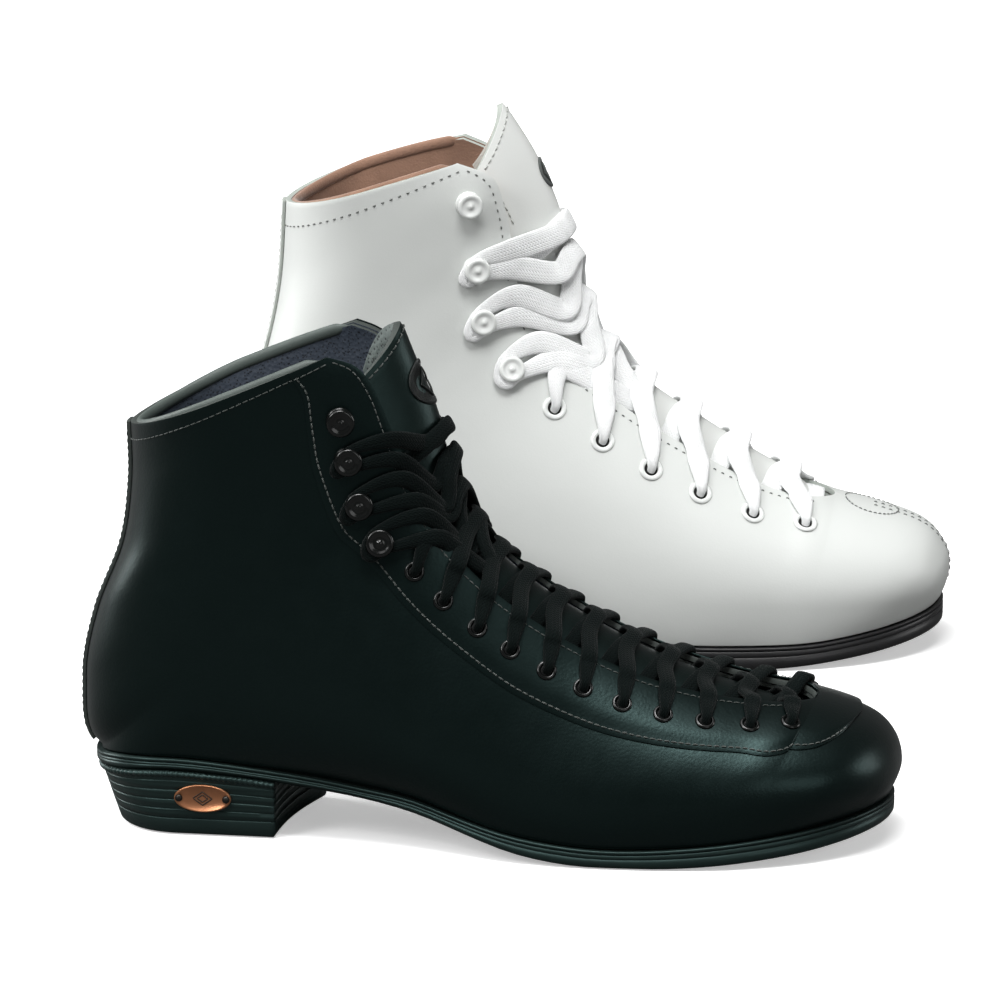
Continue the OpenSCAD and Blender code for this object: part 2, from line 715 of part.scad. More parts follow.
// Oval plate on the outer side of the black heel
plaque_x = 47;
plaque_z = 14;
plaque_w = 20.5;
plaque_h = 10;
plaque_t = 1;
pin_apart = 17;
plaque_out = -(heel_side(plaque_x) + 2 * clearance);
function heel_side(x) = -heel_point(black_boot, .62, lateral, plaque_z)[1];
module plaque_place() {
    translate([plaque_x, plaque_out, plaque_z]) rotate([90, 0, 0]) children();
}

module heel_plaque() {
    plaque_place() linear_extrude(plaque_t) difference() {
        polygon([for (k = [0:35]) [plaque_w / 2 * cos(k * 10), plaque_h / 2 * sin(k * 10)]]);
        for (d = [-1, 1]) translate([d * pin_apart / 2, 0]) circle(r = .9);
    }
}

module plaque_pins() {
    plaque_place() for (d = [-1, 1]) translate([d * pin_apart / 2, 0, 0]) {
        translate([0, 0, -3]) cylinder(r = .8, h = 3 + plaque_t);
        translate([0, 0, plaque_t]) cylinder(r = 1.4, h = .5);
    }
}

// ---- Eyelets and hooks ----

module eyelet(r) {
    bore = r * .56;
    wall = .35;
    rotate_extrude() polygon([
        [bore, -leather - lining_t - .5], [bore + wall, -leather - lining_t - .5],
        [bore + wall, 0], [r, 0], [r - .15, .35], [mix(bore, r, .55), .7], [bore, .4]
    ]);
}

module eyelets(b, side, r, raise) {
    for (t = b[EYELET_STATIONS]) {
        on_surface(skin(b, t, b[EYELET_U], side, raise), skin_normal(b, t, b[EYELET_U], side))
            eyelet(r);
    }
}

hook_u = 1.7;
hook_neck_r = 1.9;
hook_h = 4.6;
module hook() {
    rotate_extrude() polygon([
        [0, -leather - .4], [hook_neck_r * .8, -leather - .4], [hook_neck_r * .8, 0],
        [hook_r, 0], [hook_r, .5], [hook_r - .8, 1], [hook_neck_r, 1.2], [hook_neck_r, 3.1],
        [hook_r * .88, 3.3], [hook_r * .92, 3.8], [hook_r * .6, hook_h - .2], [0, hook_h]
    ]);
}

module hooks(b, side, raise) {
    for (t = b[HOOK_STATIONS]) {
        on_surface(skin(b, t, hook_u, side, raise), skin_normal(b, t, hook_u, side)) hook();
    }
}

// ---- Laces ----
// A route is a list of [place, outward direction, width, thickness].

lace_t = 1.3;
hole_in = -(leather + lining_t + 1.4);

// Stop on the upper's surface and stop on the tongue's surface
function on_skin(b, t, u, side, off, w, h) =
    [skin(b, t, u, side, off), skin_normal(b, t, u, side), w, h];
function on_tongue(b, s, v, off, w, h) =
    [tongue_point(b, s, v, off), unit(tongue_point(b, s, v, 1) - tongue_point(b, s, v)), w, h];

// Rise of a strand at the crossing; one side's strands pass over the other side's
function over(side) = side == lateral ? 3.3 : 1.8;

// From the eyelet at station t0 on one side, over its edge, across the tongue and under the
// other edge to the eyelet at station t1
function eyelet_strand(b, t0, t1, side, w, raise) =
    let (u = b[EYELET_U], thin = min(w * .6, 3.6), thick = lace_t * 1.3, tm = (t0 + t1) / 2)
    [
        on_skin(b, t0, u, side, hole_in, thin, thick),
        on_skin(b, t0, u + .015, side, raise + 1.1, thin, thick),
        on_skin(b, mix(t0, t1, .16), 1.9, side, raise + 1.2, w, lace_t),
        on_skin(b, mix(t0, t1, .26), 1.99, side, raise + 1.3, w, lace_t),
        on_tongue(b, tm - 4, side * .42, over(side), w, lace_t),
        on_tongue(b, tm - 4, 0, over(side) + .2, w, lace_t),
        on_tongue(b, mix(t0, t1, .66) - 4, -side * .38, over(side) * .8, w, lace_t),
        on_tongue(b, mix(t0, t1, .76) - 4, -side * .66, 1, w * .9, lace_t),
        on_tongue(b, mix(t0, t1, .88) - 4, -side * .86, .7, w * .8, lace_t)
    ];

// Across the tongue from a hook or eyelet on one side, round the hook at station t1 on the
// other side, and back to the edge; s is the tongue's row at the crossing
function hook_strand(b, s, t1, side, w, raise, lift) =
    let (grip = 3.1, dt = grip / 11, du = grip / 62, rise = b[CROSSING_RISE], dip = .55)
    [
        on_tongue(b, s - rise - dip, side * .55, 1.5 + lift, w, lace_t),
        on_tongue(b, s - rise * .5 - dip * .35, side * .3, 1.8 + lift, w, lace_t),
        on_tongue(b, s, 0, 1.8 + lift, w, lace_t),
        on_tongue(b, s + rise * .5 - dip * .35, -side * .3, 1.8 + lift, w, lace_t),
        on_tongue(b, s + rise - dip, -side * .55, 1.5 + lift, w, lace_t),
        on_skin(b, t1 - .9, 1.97, -side, raise + 1.6, w, lace_t),
        on_skin(b, t1 - dt * .9, hook_u + .03, -side, raise + 2.1, w * .6, lace_t * 1.2),
        on_skin(b, t1 - dt * .4, hook_u - du * 1.4, -side, raise + 2.1, w * .6, lace_t * 1.2),
        on_skin(b, t1 + dt * .4, hook_u - du * 1.4, -side, raise + 2.1, w * .6, lace_t * 1.2),
        on_skin(b, t1 + dt * .9, hook_u + .03, -side, raise + 2.1, w * .6, lace_t * 1.2),
        on_skin(b, t1 - .25, 1.97, -side, raise + 1.6, w, lace_t)
    ];

// Whole half of a lace: the bar at the throat's end, eyelet to eyelet, hook to hook, and the
// end tucked in behind the tongue
function lace_half(b, side, w, raise) =
    let (
        te = b[EYELET_STATIONS],
        th = b[HOOK_STATIONS],
        n = len(te),
        flip = function (k) k % 2 == 0 ? side : -side,
        last = te[n - 1],
        u = b[EYELET_U],
        rows = b[CROSSINGS],
        thin = min(w * .6, 3.6),
        end_side = flip(n + 2)
    )
    concat(
        [on_tongue(b, te[0] - 3.95, side * .02, .9, w, lace_t),
            on_tongue(b, te[0] - 3.95, side * .6, .7, w, lace_t)],
        [for (k = [0:n - 2]) each eyelet_strand(b, te[k], te[k + 1], flip(k), w, raise)],
        [on_skin(b, last, u, flip(n - 1), hole_in, thin, lace_t * 1.3),
            on_skin(b, last, u + .015, flip(n - 1), raise + 1.1, thin, lace_t * 1.3),
            on_skin(b, last + .2, 1.95, flip(n - 1), raise + 1.2, w, lace_t)],
        [for (k = [0:2]) each hook_strand(b, rows[k], th[k], flip(n - 1 + k), w, raise,
            (side == lateral ? 1.5 : 0) + .3 * k)],
        [on_tongue(b, rows[3] - .1, end_side * .45, 1.4 + (side == lateral ? 1.5 : 0), w, lace_t),
            on_tongue(b, rows[3], 0, 1.6 + (side == lateral ? 1.5 : 0), w, lace_t),
            on_tongue(b, rows[3] - .1, -end_side * .5, 1.4 + (side == lateral ? 1.5 : 0), w, lace_t),
            on_tongue(b, rows[3] - .3, -end_side * .85, .9, w, lace_t),
            on_tongue(b, rows[3] - .8, -end_side * .97, -3, w * .7, lace_t)]
    );

// Widths of a cord at each stop, kept from turning over between stops
function cord_wides(route) =
    let (
        n = len(route),
        raw = [
            for (i = [0:n - 1])
                unit(cross(
                    route[min(i + 1, n - 1)][0] - route[max(i - 1, 0)][0], route[i][1]
                ))
        ]
    )
    [for (i = 0, w = raw[0]; i < n; i = i + 1, w = i < n ? (raw[i] * w < 0 ? -raw[i] : raw[i]) : w) w];

// Rings of a flat four-sided cord along a route
cord_shape = [[-.5, .35], [.5, .35], [.5, -.35], [-.5, -.35]];
function cord_rings(route) =
    let (n = len(route), wides = cord_wides(route))
    [
        for (i = [0:n - 1])
            let (
                r = route[i],
                along = unit(route[min(i + 1, n - 1)][0] - route[max(i - 1, 0)][0]),
                thick = cross(wides[i], along)
            )
            [for (c = cord_shape) r[0] + wides[i] * r[2] * c[0] + thick * r[3] * c[1]]
    ];

// Both halves of a lace as one node
module lace(b, w, raise) {
    halves = [for (side = [lateral, medial]) cord_rings(lace_half(b, side, w, raise))];
    nc = len(cord_shape);
    nr = len(halves[0]);
    n = nr * nc;
    polyhedron(
        [for (h = halves) for (ring = h) for (p = ring) p],
        [for (k = [0, 1]) each [for (f = loft_faces(nr, nc, false)) [for (i = f) i + k * n]]]
    );
}

// ---- Black boot ----

ink = [.1, .13, .12];
module black_outsole() { color([.15, .19, .18]) black_place() outsole(black_boot); }
module black_welt() { color([.12, .15, .14]) black_place() welt(black_boot); }
module black_heel_block() { color([.17, .22, .21]) black_place() heel_block(black_boot); }
module black_heel_lift() { color([.14, .18, .17]) black_place() heel_lift(black_boot); }
module black_heel_nails() { color([.6, .6, .58]) black_place() heel_nails(black_boot); }
module black_heel_plaque() { color([.78, .5, .32]) black_place() heel_plaque(); }
module black_plaque_pins() { color([.2, .2, .18]) black_place() plaque_pins(); }
module black_shank() { color([.55, .57, .6]) black_place() shank(black_boot); }
module black_filler() { color([.66, .5, .33]) black_place() filler(black_boot); }
module black_insole() { color([.62, .5, .38]) black_place() insole(black_boot); }
module black_footbed() { color([.25, .28, .3]) black_place() footbed(black_boot); }
module black_counter() { color([.5, .42, .33]) black_place() counter(black_boot); }
module black_toe_box() { color([.5, .42, .33]) black_place() toe_box(black_boot); }
module black_quarter_lateral() { color(ink) black_place() quarter(black_boot, lateral); }
module black_quarter_medial() { color(ink) black_place() quarter(black_boot, medial); }
module black_lining() { color([.2, .22, .28]) black_place() lining(black_boot); }
module black_facing() { color([.36, .4, .38]) black_place() facing(black_boot); }
module black_backstay() { color(ink) black_place() backstay(black_boot); }
module black_eyestay_lateral() { color(ink) black_place() eyestay(black_boot, lateral); }
module black_eyestay_medial() { color(ink) black_place() eyestay(black_boot, medial); }
module black_tongue() { color(ink) black_place() tongue(black_boot); }
module black_tongue_flap() { color(ink) black_place() tongue_flap(black_boot); }
module black_tongue_badge() { color([.08, .1, .1]) black_place() tongue_badge(black_boot); }
module black_eyelets_lateral() {
    color("black") black_place() eyelets(black_boot, lateral, black_eyelet_r, eyestay_t);
}
module black_eyelets_medial() {
    color("black") black_place() eyelets(black_boot, medial, black_eyelet_r, eyestay_t);
}
module black_hooks_lateral() { color("black") black_place() hooks(black_boot, lateral, eyestay_t); }
module black_hooks_medial() { color("black") black_place() hooks(black_boot, medial, eyestay_t); }
module black_lace() { color([.05, .07, .07]) black_place() lace(black_boot, black_lace_w, eyestay_t); }

// ---- White boot ----

chalk = [.87, .88, .86];
module white_outsole() { color([.12, .12, .13]) white_place() outsole(white_boot); }
module white_welt() { color([.1, .1, .11]) white_place() welt(white_boot); }
module white_heel_block() { color([.12, .12, .13]) white_place() heel_block(white_boot); }
module white_heel_lift() { color([.1, .1, .1]) white_place() heel_lift(white_boot); }
module white_heel_nails() { color([.6, .6, .58]) white_place() heel_nails(white_boot); }
module white_shank() { color([.55, .57, .6]) white_place() shank(white_boot); }
module white_filler() { color([.66, .5, .33]) white_place() filler(white_boot); }
module white_insole() { color([.62, .5, .38]) white_place() insole(white_boot); }
module white_footbed() { color([.6, .46, .36]) white_place() footbed(white_boot); }
module white_counter() { color([.5, .42, .33]) white_place() counter(white_boot); }
module white_toe_box() { color([.5, .42, .33]) white_place() toe_box(white_boot); }
module white_quarter_lateral() { color(chalk) white_place() quarter(white_boot, lateral); }
module white_quarter_medial() { color(chalk) white_place() quarter(white_boot, medial); }
module white_lining() { color([.55, .38, .28]) white_place() lining(white_boot); }
module white_facing() { color([.5, .35, .27]) white_place() facing(white_boot); }
module white_backstay() { color(chalk) white_place() backstay(white_boot); }
module white_tongue() { color(chalk) white_place() tongue(white_boot); }
module white_tongue_flap() { color(chalk) white_place() tongue_flap(white_boot); }
module white_tongue_badge() { color([.3, .32, .32]) white_place() tongue_badge(white_boot, .55); }
module white_eyelets_lateral() {
    color("white") white_place() eyelets(white_boot, lateral, white_eyelet_r, 0);
}
module white_eyelets_medial() {
    color("white") white_place() eyelets(white_boot, medial, white_eyelet_r, 0);
}
module white_hooks_lateral() { color("white") white_place() hooks(white_boot, lateral, 0); }
module white_hooks_medial() { color("white") white_place() hooks(white_boot, medial, 0); }
module white_lace() { color("white") white_place() lace(white_boot, white_lace_w, 0); }

black_outsole();
black_welt();
black_heel_block();
black_heel_lift();
black_heel_nails();
black_heel_plaque();
black_plaque_pins();
black_shank();
black_filler();
black_insole();
black_footbed();
black_counter();
black_toe_box();
black_quarter_lateral();
black_quarter_medial();
black_lining();
black_facing();
black_backstay();
black_eyestay_lateral();
black_eyestay_medial();
black_tongue();
black_tongue_flap();
black_tongue_badge();
black_eyelets_lateral();
black_eyelets_medial();
black_hooks_lateral();
black_hooks_medial();
black_lace();
white_outsole();
white_welt();
white_heel_block();
white_heel_lift();
white_heel_nails();
white_shank();
white_filler();
white_insole();
white_footbed();
white_counter();
white_toe_box();
white_quarter_lateral();
white_quarter_medial();
white_lining();
white_facing();
white_backstay();
white_tongue();
white_tongue_flap();
white_tongue_badge();
white_eyelets_lateral();
white_eyelets_medial();
white_hooks_lateral();
white_hooks_medial();
white_lace();
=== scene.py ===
# Two lace-up skating boots, a black one in front and a white one behind it, with no blades.
# Lengths in the boot functions are millimetres along each boot; place() turns them into
# metres in the shared frame. Side -1 is the outer side of a boot and 1 the inner side.
import math
import bmesh
import bpy
import numpy as np
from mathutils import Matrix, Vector


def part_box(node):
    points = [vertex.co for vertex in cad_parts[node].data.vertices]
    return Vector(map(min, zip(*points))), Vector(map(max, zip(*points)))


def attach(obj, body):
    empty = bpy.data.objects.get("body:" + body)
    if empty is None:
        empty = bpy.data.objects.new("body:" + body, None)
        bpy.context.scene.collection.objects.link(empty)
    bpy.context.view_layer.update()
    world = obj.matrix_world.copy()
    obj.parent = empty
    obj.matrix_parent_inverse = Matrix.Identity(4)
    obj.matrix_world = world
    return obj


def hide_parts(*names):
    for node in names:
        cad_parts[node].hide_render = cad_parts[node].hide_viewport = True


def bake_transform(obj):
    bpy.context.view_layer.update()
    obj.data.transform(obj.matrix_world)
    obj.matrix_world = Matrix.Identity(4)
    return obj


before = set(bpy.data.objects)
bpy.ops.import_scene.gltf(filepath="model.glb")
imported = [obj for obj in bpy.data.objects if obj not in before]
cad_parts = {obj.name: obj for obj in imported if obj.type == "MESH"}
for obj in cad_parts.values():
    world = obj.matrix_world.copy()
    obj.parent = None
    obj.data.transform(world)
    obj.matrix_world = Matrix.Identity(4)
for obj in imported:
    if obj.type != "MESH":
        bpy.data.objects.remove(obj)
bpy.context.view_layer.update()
LATERAL, MEDIAL = -1, 1
# Thicknesses in millimetres
LEATHER, LINING, EYESTAY, TONGUE_T, LACE_T = 2.0, 1.3, 1.2, 4.5, 1.3
SKIVED = .45  # the eyestay's thickness at its thinned lower edge
HOLE_IN = -(LEATHER + LINING + 1.4)  # where a lace ends behind an eyelet
HOOK_U = 1.7
COLLAR_SEAM = 17.62  # station of the stitches round the collar
FOOT_ROWS = 4  # station of the tongue's first row
FREE_ROW, TOP_ROW, BADGE_ROW = 10, 12, 10.62
STITCHED_V = .84  # how far out the tongue's border stitches lie
GREEN_CAST = (.62, 1, .97)


# ---- Shape tables: the same curves as the CAD model ----

BLACK_ROWS = np.array([
    [286.8, 16, 287.2, 16.6, 2, .33, 12, 2.1], [282, 15.4, 290.6, 25.5, 20, .35, 12, 2.1],
    [270, 13.8, 288, 35.5, 33, .34, 12, 2.1], [255, 11.8, 279.5, 43.5, 42, .32, 12, 2.1],
    [238, 9.9, 261, 50.2, 47.5, .3, 13, 2.05], [218, 8, 243.8, 52.2, 50, .29, 17, 2],
    [196, 6.9, 222.3, 56.4, 51, .28, 21, 1.95], [174, 8.2, 200.7, 63.3, 49.5, .27, 23.5, 1.9],
    [152, 11.6, 180.3, 72.8, 46, .27, 24.5, 1.9], [130, 17.5, 162.3, 83.6, 43, .28, 25, 1.9],
    [105, 21.3, 147.2, 94.8, 40.5, .3, 25, 1.95], [74, 25.4, 134.9, 107.2, 39, .34, 25, 2],
    [38, 28.6, 126.7, 119.3, 37.5, .4, 25, 2.1], [5, 26, 120.4, 131.4, 36.5, .44, 25, 2.2],
    [0, 50, 116.1, 143.5, 35.5, .46, 25.5, 2.2], [4.5, 75, 112.5, 153.7, 34.5, .47, 26, 2.2],
    [14, 100, 108.3, 163.5, 34.5, .47, 26.5, 2.2], [17, 123, 102.2, 171.9, 35.5, .47, 28, 2.2],
    [16.5, 143.6, 92, 175.4, 36.5, .46, 30, 2.2]])
WHITE_ROWS = np.array([
    [271.5, 17.6, 272, 18.2, 2, .33, 11, 2.1], [267, 16.6, 275.2, 28, 18, .35, 11, 2.1],
    [256, 14.6, 273, 38, 30, .34, 11, 2.1], [241, 12.2, 262, 48, 38.5, .32, 11, 2.1],
    [219, 10, 231, 58, 44, .3, 12, 2.05], [202, 9.6, 214, 61.5, 46, .29, 14, 2],
    [184, 9.7, 197, 68.5, 46.5, .28, 16, 1.95], [166, 10.4, 180, 77.8, 45.5, .27, 17, 1.9],
    [147, 12.8, 163.5, 87.8, 43, .27, 18, 1.9], [126, 19.6, 148.5, 98, 40, .28, 18.5, 1.9],
    [101, 27.2, 135, 108, 37.5, .3, 19, 1.95], [70, 34, 123, 118.5, 35.5, .34, 19.5, 2],
    [36, 38.2, 115, 129.5, 34.5, .4, 20, 2.1], [5, 36.8, 111, 141.5, 34, .44, 21, 2.2],
    [0, 61, 109, 153.5, 33.2, .46, 22, 2.2], [4, 86, 107.7, 164, 32.4, .47, 23, 2.2],
    [13.5, 114, 105.6, 174.5, 32.6, .47, 24, 2.2], [19, 141, 101, 186, 33.5, .47, 25.5, 2.2],
    [21, 172, 88, 192, 34.5, .46, 28, 2.2]])
BLACK_PLAN = np.array([
    [0, 31, 0], [50, 31, 0], [85, 29.5, -1.5], [105, 30, -2.5], [130, 35, -3], [155, 42.5, -2.5],
    [180, 47, -1], [200, 48, 0], [225, 47.5, 2], [250, 46.5, 5], [290, 45, 9]])
BLACK_FEATHER = np.array([
    [5, 26], [15, 28], [30, 28.8], [45, 28.4], [64, 26.6], [85, 24.2], [105, 21.4], [122, 19.2],
    [141, 14.2], [158, 10.3], [173, 8.2], [190, 7], [210, 7.4], [234, 9.4], [258, 12.1],
    [275, 14.4], [287, 16.2]])
WHITE_FEATHER = np.array([
    [5, 36.8], [15, 38.4], [28, 38.6], [45, 37.5], [75, 33], [95, 28.5], [115, 22.8],
    [135, 16.2], [150, 12.2], [170, 10], [189, 9.5], [221, 10], [243, 12.4], [264, 15.8],
    [274, 18]])
BLACK_UNDER = np.array([
    [0, 20.5], [30, 23.8], [60, 22.4], [80, 20], [105, 16.8], [124, 13.4], [144, 7.6],
    [160, 3.2], [175, .8], [188, 0], [212, 0], [234, 1.4], [258, 3.8], [275, 6.2], [290, 8.8]])
WHITE_UNDER = np.array([
    [0, 31.5], [28, 33.6], [56, 31], [75, 28.2], [95, 23.8], [115, 17.6], [135, 9.8],
    [150, 4.4], [164, 1.2], [176, 0], [202, 0], [221, 1.2], [243, 3.6], [260, 6], [275, 8.8]])
BLACK_TONGUE = np.array([
    [258, 45, 60, 13, 5, .45], [243, 50.9, 60, 19, 8, .5], [223, 57.7, 62, 23, 10.5, .6],
    [202, 66, 64, 25.5, 13, .8], [182, 76.4, 65, 26, 14.5, 1], [164, 87.2, 64, 26, 15, 1],
    [149.4, 98.7, 60, 26, 16, 1], [138.5, 112, 53, 25.5, 18, 1], [132.3, 125, 45, 24.5, 20, 1],
    [129, 139, 33, 23, 21, 1], [126, 151.4, 24, 22, 22.5, 1], [119.5, 167, 18, 22, 24, 1],
    [113.6, 181.8, 15, 22, 25, .9]])
WHITE_TONGUE = np.array([
    [229.8, 53, 77, 11, 5, .45], [215, 66, 77, 16, 15, .5], [198.7, 76.3, 77, 18.5, 21, .6],
    [182, 87, 78, 19.5, 24, .8], [165.6, 97.6, 77, 20.5, 26, 1], [151.5, 108, 74, 21, 28, 1],
    [140.3, 120.5, 67, 21, 28, 1], [134, 134, 58, 21, 28, 1], [130.5, 147, 46, 20, 26.5, 1],
    [128, 158, 33, 19, 25, 1], [124.8, 171, 22, 18.5, 24, 1], [116, 191, 20, 19, 26, .9],
    [104, 210, 22, 19, 28, .8]])
# Lower edge of the black eyestay: station, share of the way round
EYESTAY_EDGE = np.array([
    [3.2, 1.97], [3.3, 1.7], [3.6, 1.5], [4.2, 1.46], [5, 1.52], [8.5, 1.53], [10, 1.57],
    [12, 1.6], [14, 1.53], [16, 1.48], [17.5, 1.58], [18, 1.64]])

BLACK = dict(
    name="black", rows=BLACK_ROWS, plan=BLACK_PLAN, feather=BLACK_FEATHER, under=BLACK_UNDER,
    tongue=BLACK_TONGUE, eyelets=[4.25, 5, 5.7, 6.35, 7, 7.65, 8.3, 9, 9.7, 10.5, 11.3],
    hooks=[12.3, 13.4, 14.6, 15.8], heel_x=5, heel_r=28, toe_x=286.8, toe_r=62,
    breast=(72.5, 81), drop=1, falls=(1.1, 2.8), rise=.3, eyelet_u=1.75, at=(-45, 0, 0),
    turn=0, raise_=EYESTAY, lace_w=6, eyelet_r=3.6, plump=1.9,
    crossings=[6.9, 7.8, 8.65, 9.45], badge=(.5, .42), layers=5)
WHITE = dict(
    name="white", rows=WHITE_ROWS, plan=BLACK_PLAN * np.array([.948, .93, .93]),
    feather=WHITE_FEATHER, under=WHITE_UNDER, tongue=WHITE_TONGUE,
    eyelets=[4.5, 5.7, 6.85, 7.95, 9.1, 10.3], hooks=[11.6, 13.2, 14.75, 16.7], heel_x=5,
    heel_r=26, toe_x=271.5, toe_r=58, breast=(72, 79), drop=1, falls=(1.3, 1.3), rise=.5,
    eyelet_u=1.7, at=(-39, 245, 0), turn=math.radians(6), raise_=0, lace_w=9, eyelet_r=4.7,
    plump=1.5, crossings=[5.7, 7, 8.4, 9.5], badge=(.275, .231), layers=7)


# ---- Curves and surfaces ----

def unit(v):
    return v / np.maximum(np.linalg.norm(v, axis=-1, keepdims=True), 1e-9)


def smooth(x):
    c = np.clip(x, 0, 1)
    return c * c * (3 - 2 * c)


def row_at(rows, t):
    """Row of a table at a fractional row number, on a smooth curve through the rows."""
    t = np.asarray(t, float)
    n = len(rows)
    i = np.clip(np.floor(t).astype(int), 0, n - 2)
    f = (t - i)[..., None]
    a, b, c, d = (rows[np.clip(i + k, 0, n - 1)] for k in (-1, 0, 1, 2))
    return 0.5 * (2 * b + (c - a) * f + (2 * a - 5 * b + 4 * c - d) * f ** 2
                  + (3 * b - a - 3 * c + d) * f ** 3)


def curve_at(tab, x, j=1):
    """Column j of a table at x, on a smooth curve through its rows."""
    x = np.asarray(x, float)
    n = len(tab)
    slope = np.array([
        (tab[min(k + 1, n - 1), j] - tab[max(k - 1, 0), j])
        / (tab[min(k + 1, n - 1), 0] - tab[max(k - 1, 0), 0]) for k in range(n)])
    i = np.clip(np.searchsorted(tab[:, 0], x, side="right") - 1, 0, n - 2)
    h = tab[i + 1, 0] - tab[i, 0]
    f = np.clip((x - tab[i, 0]) / h, 0, 1)
    return ((2 * f ** 3 - 3 * f ** 2 + 1) * tab[i, j] + (f ** 3 - 2 * f ** 2 + f) * h * slope[i]
            + (3 * f ** 2 - 2 * f ** 3) * tab[i + 1, j] + (f ** 3 - f ** 2) * h * slope[i + 1])


def half_width(b, x):
    a = np.clip((b["heel_x"] + b["heel_r"] - x) / b["heel_r"], 0, 1)
    c = np.clip((x - b["toe_x"] + b["toe_r"]) / b["toe_r"], 0, 1)
    return (curve_at(b["plan"], x) * (1 - a ** 2.2) ** (1 / 2.2) * (1 - c ** 2.1) ** (1 / 2.1))


def middle(b, x, z):
    return curve_at(b["plan"], x, 2) * (1 - smooth((z - 60) / 60))


def skin_point(b, t, u, side):
    """Point of the upper: station t from the toe, u round from the sole (0) to the throat (2)."""
    t, u = np.broadcast_arrays(np.asarray(t, float), np.asarray(u, float))
    r = row_at(b["rows"], t)
    foot = t < 13
    bx = r[..., 0]
    bz = np.where(foot, curve_at(b["feather"], bx), r[..., 1])
    wb = np.where(foot, half_width(b, bx), 0)
    w = np.maximum(r[..., 4], wb * 1.03)
    f = np.clip((t - 4) / .6, 0, 1)
    gap = r[..., 6] * np.sqrt(np.maximum(0, 1 - (1 - f) ** 2))
    p = 2.3 + (1.75 - 2.3) * smooth((t - 15.5) / 2.5)
    q = r[..., 7]
    bb, ff = wb / w, gap / w
    low = u <= 1
    phi_b = np.arcsin(np.clip(bb ** (p / 2), 0, 1))
    phi_f = np.arcsin(np.clip(ff ** (q / 2), 0, 1))
    half = math.pi / 2
    phi = np.where(low, phi_b + (half - phi_b) * u, half + (phi_f - half) * (u - 1))
    e = np.where(low, 2 / p, 2 / q)
    y = w * np.sin(phi) ** e
    cosine = np.maximum(np.cos(phi), 0) ** e
    c = np.where(low, r[..., 5] * (1 - cosine / (1 - bb ** p) ** (1 / p)),
                 r[..., 5] + (1 - r[..., 5]) * cosine / (1 - ff ** q) ** (1 / q))
    x = bx + c * (r[..., 2] - bx)
    z = bz + c * (r[..., 3] - bz)
    return np.stack([x, middle(b, x, z) + side * y, z], -1)


def skin_normal(b, t, u, side, d=.02):
    t, u = np.broadcast_arrays(np.asarray(t, float), np.asarray(u, float))
    dt = (skin_point(b, np.minimum(t + d, 18), u, side)
          - skin_point(b, np.maximum(t - d, 0), u, side))
    du = (skin_point(b, t, np.minimum(u + d, 2), side)
          - skin_point(b, t, np.maximum(u - d, 0), side))
    return side * unit(np.cross(dt, du))


def skin(b, t, u, side, off=0.0):
    off = np.asarray(off, float)
    return skin_point(b, t, u, side) + off[..., None] * skin_normal(b, t, u, side)


def tongue_point(b, s, v, off=0.0):
    """Point of the tongue: row s from the throat's end up, v from edge (-1) to edge (1)."""
    s, v = np.broadcast_arrays(np.asarray(s, float), np.asarray(v, float))
    r = row_at(b["tongue"], s)
    a = np.radians(r[..., 2])
    front = np.stack([np.cos(a), np.zeros_like(a), np.sin(a)], -1)
    out = unit(np.stack([np.cos(a) * r[..., 3], 2 * r[..., 4] * v, np.sin(a) * r[..., 3]], -1))
    mid = middle(b, r[..., 0], r[..., 1])
    base = np.stack([r[..., 0], mid + r[..., 3] * v, r[..., 1]], -1)
    return base - front * (r[..., 4] * v * v)[..., None] + out * np.asarray(off, float)[..., None]


def place(b, p):
    """Boot millimetres to metres in the shared frame."""
    p = np.asarray(p, float)
    c, s = math.cos(b["turn"]), math.sin(b["turn"])
    x, y, z = p[..., 0], p[..., 1], p[..., 2]
    return np.stack([b["at"][0] + x * c - y * s, b["at"][1] + x * s + y * c, z], -1) / 1000


# ---- Meshes ----

def add(name, data):
    ob = bpy.data.objects.new(name, data)
    bpy.context.scene.collection.objects.link(ob)
    return ob


def mesh_object(name, verts, faces, mats=(), indices=None):
    me = bpy.data.meshes.new(name)
    me.from_pydata([tuple(v) for v in np.asarray(verts)], [], [tuple(f) for f in faces])
    for m in mats:
        me.materials.append(m)
    if indices is not None:
        me.polygons.foreach_set("material_index", np.asarray(indices, np.int32))
    me.polygons.foreach_set("use_smooth", [True] * len(me.polygons))
    me.update()
    return add(name, me)


def apply_all(ob):
    bpy.context.view_layer.objects.active = ob
    for o in bpy.context.selected_objects:
        o.select_set(False)
    ob.select_set(True)
    for m in list(ob.modifiers):
        bpy.ops.object.modifier_apply(modifier=m.name)


def clean(ob, merge=0, outward=True):
    """Joins vertices closer than merge metres, and turns the faces outward."""
    bm = bmesh.new()
    bm.from_mesh(ob.data)
    if merge:
        bmesh.ops.remove_doubles(bm, verts=bm.verts, dist=merge)
    if outward:
        bmesh.ops.recalc_face_normals(bm, faces=bm.faces)
    bm.to_mesh(ob.data)
    bm.free()


def bevel(ob, width, angle=50):
    """Adds a bevel and applies all of the object's modifiers."""
    m = ob.modifiers.new("edge", "BEVEL")
    m.width = width / 1000
    m.segments = 2
    m.limit_method = "ANGLE"
    m.angle_limit = math.radians(angle)
    apply_all(ob)


def grid_faces(idx):
    return np.stack([idx[:-1, :-1], idx[:-1, 1:], idx[1:, 1:], idx[1:, :-1]], -1).reshape(-1, 4)


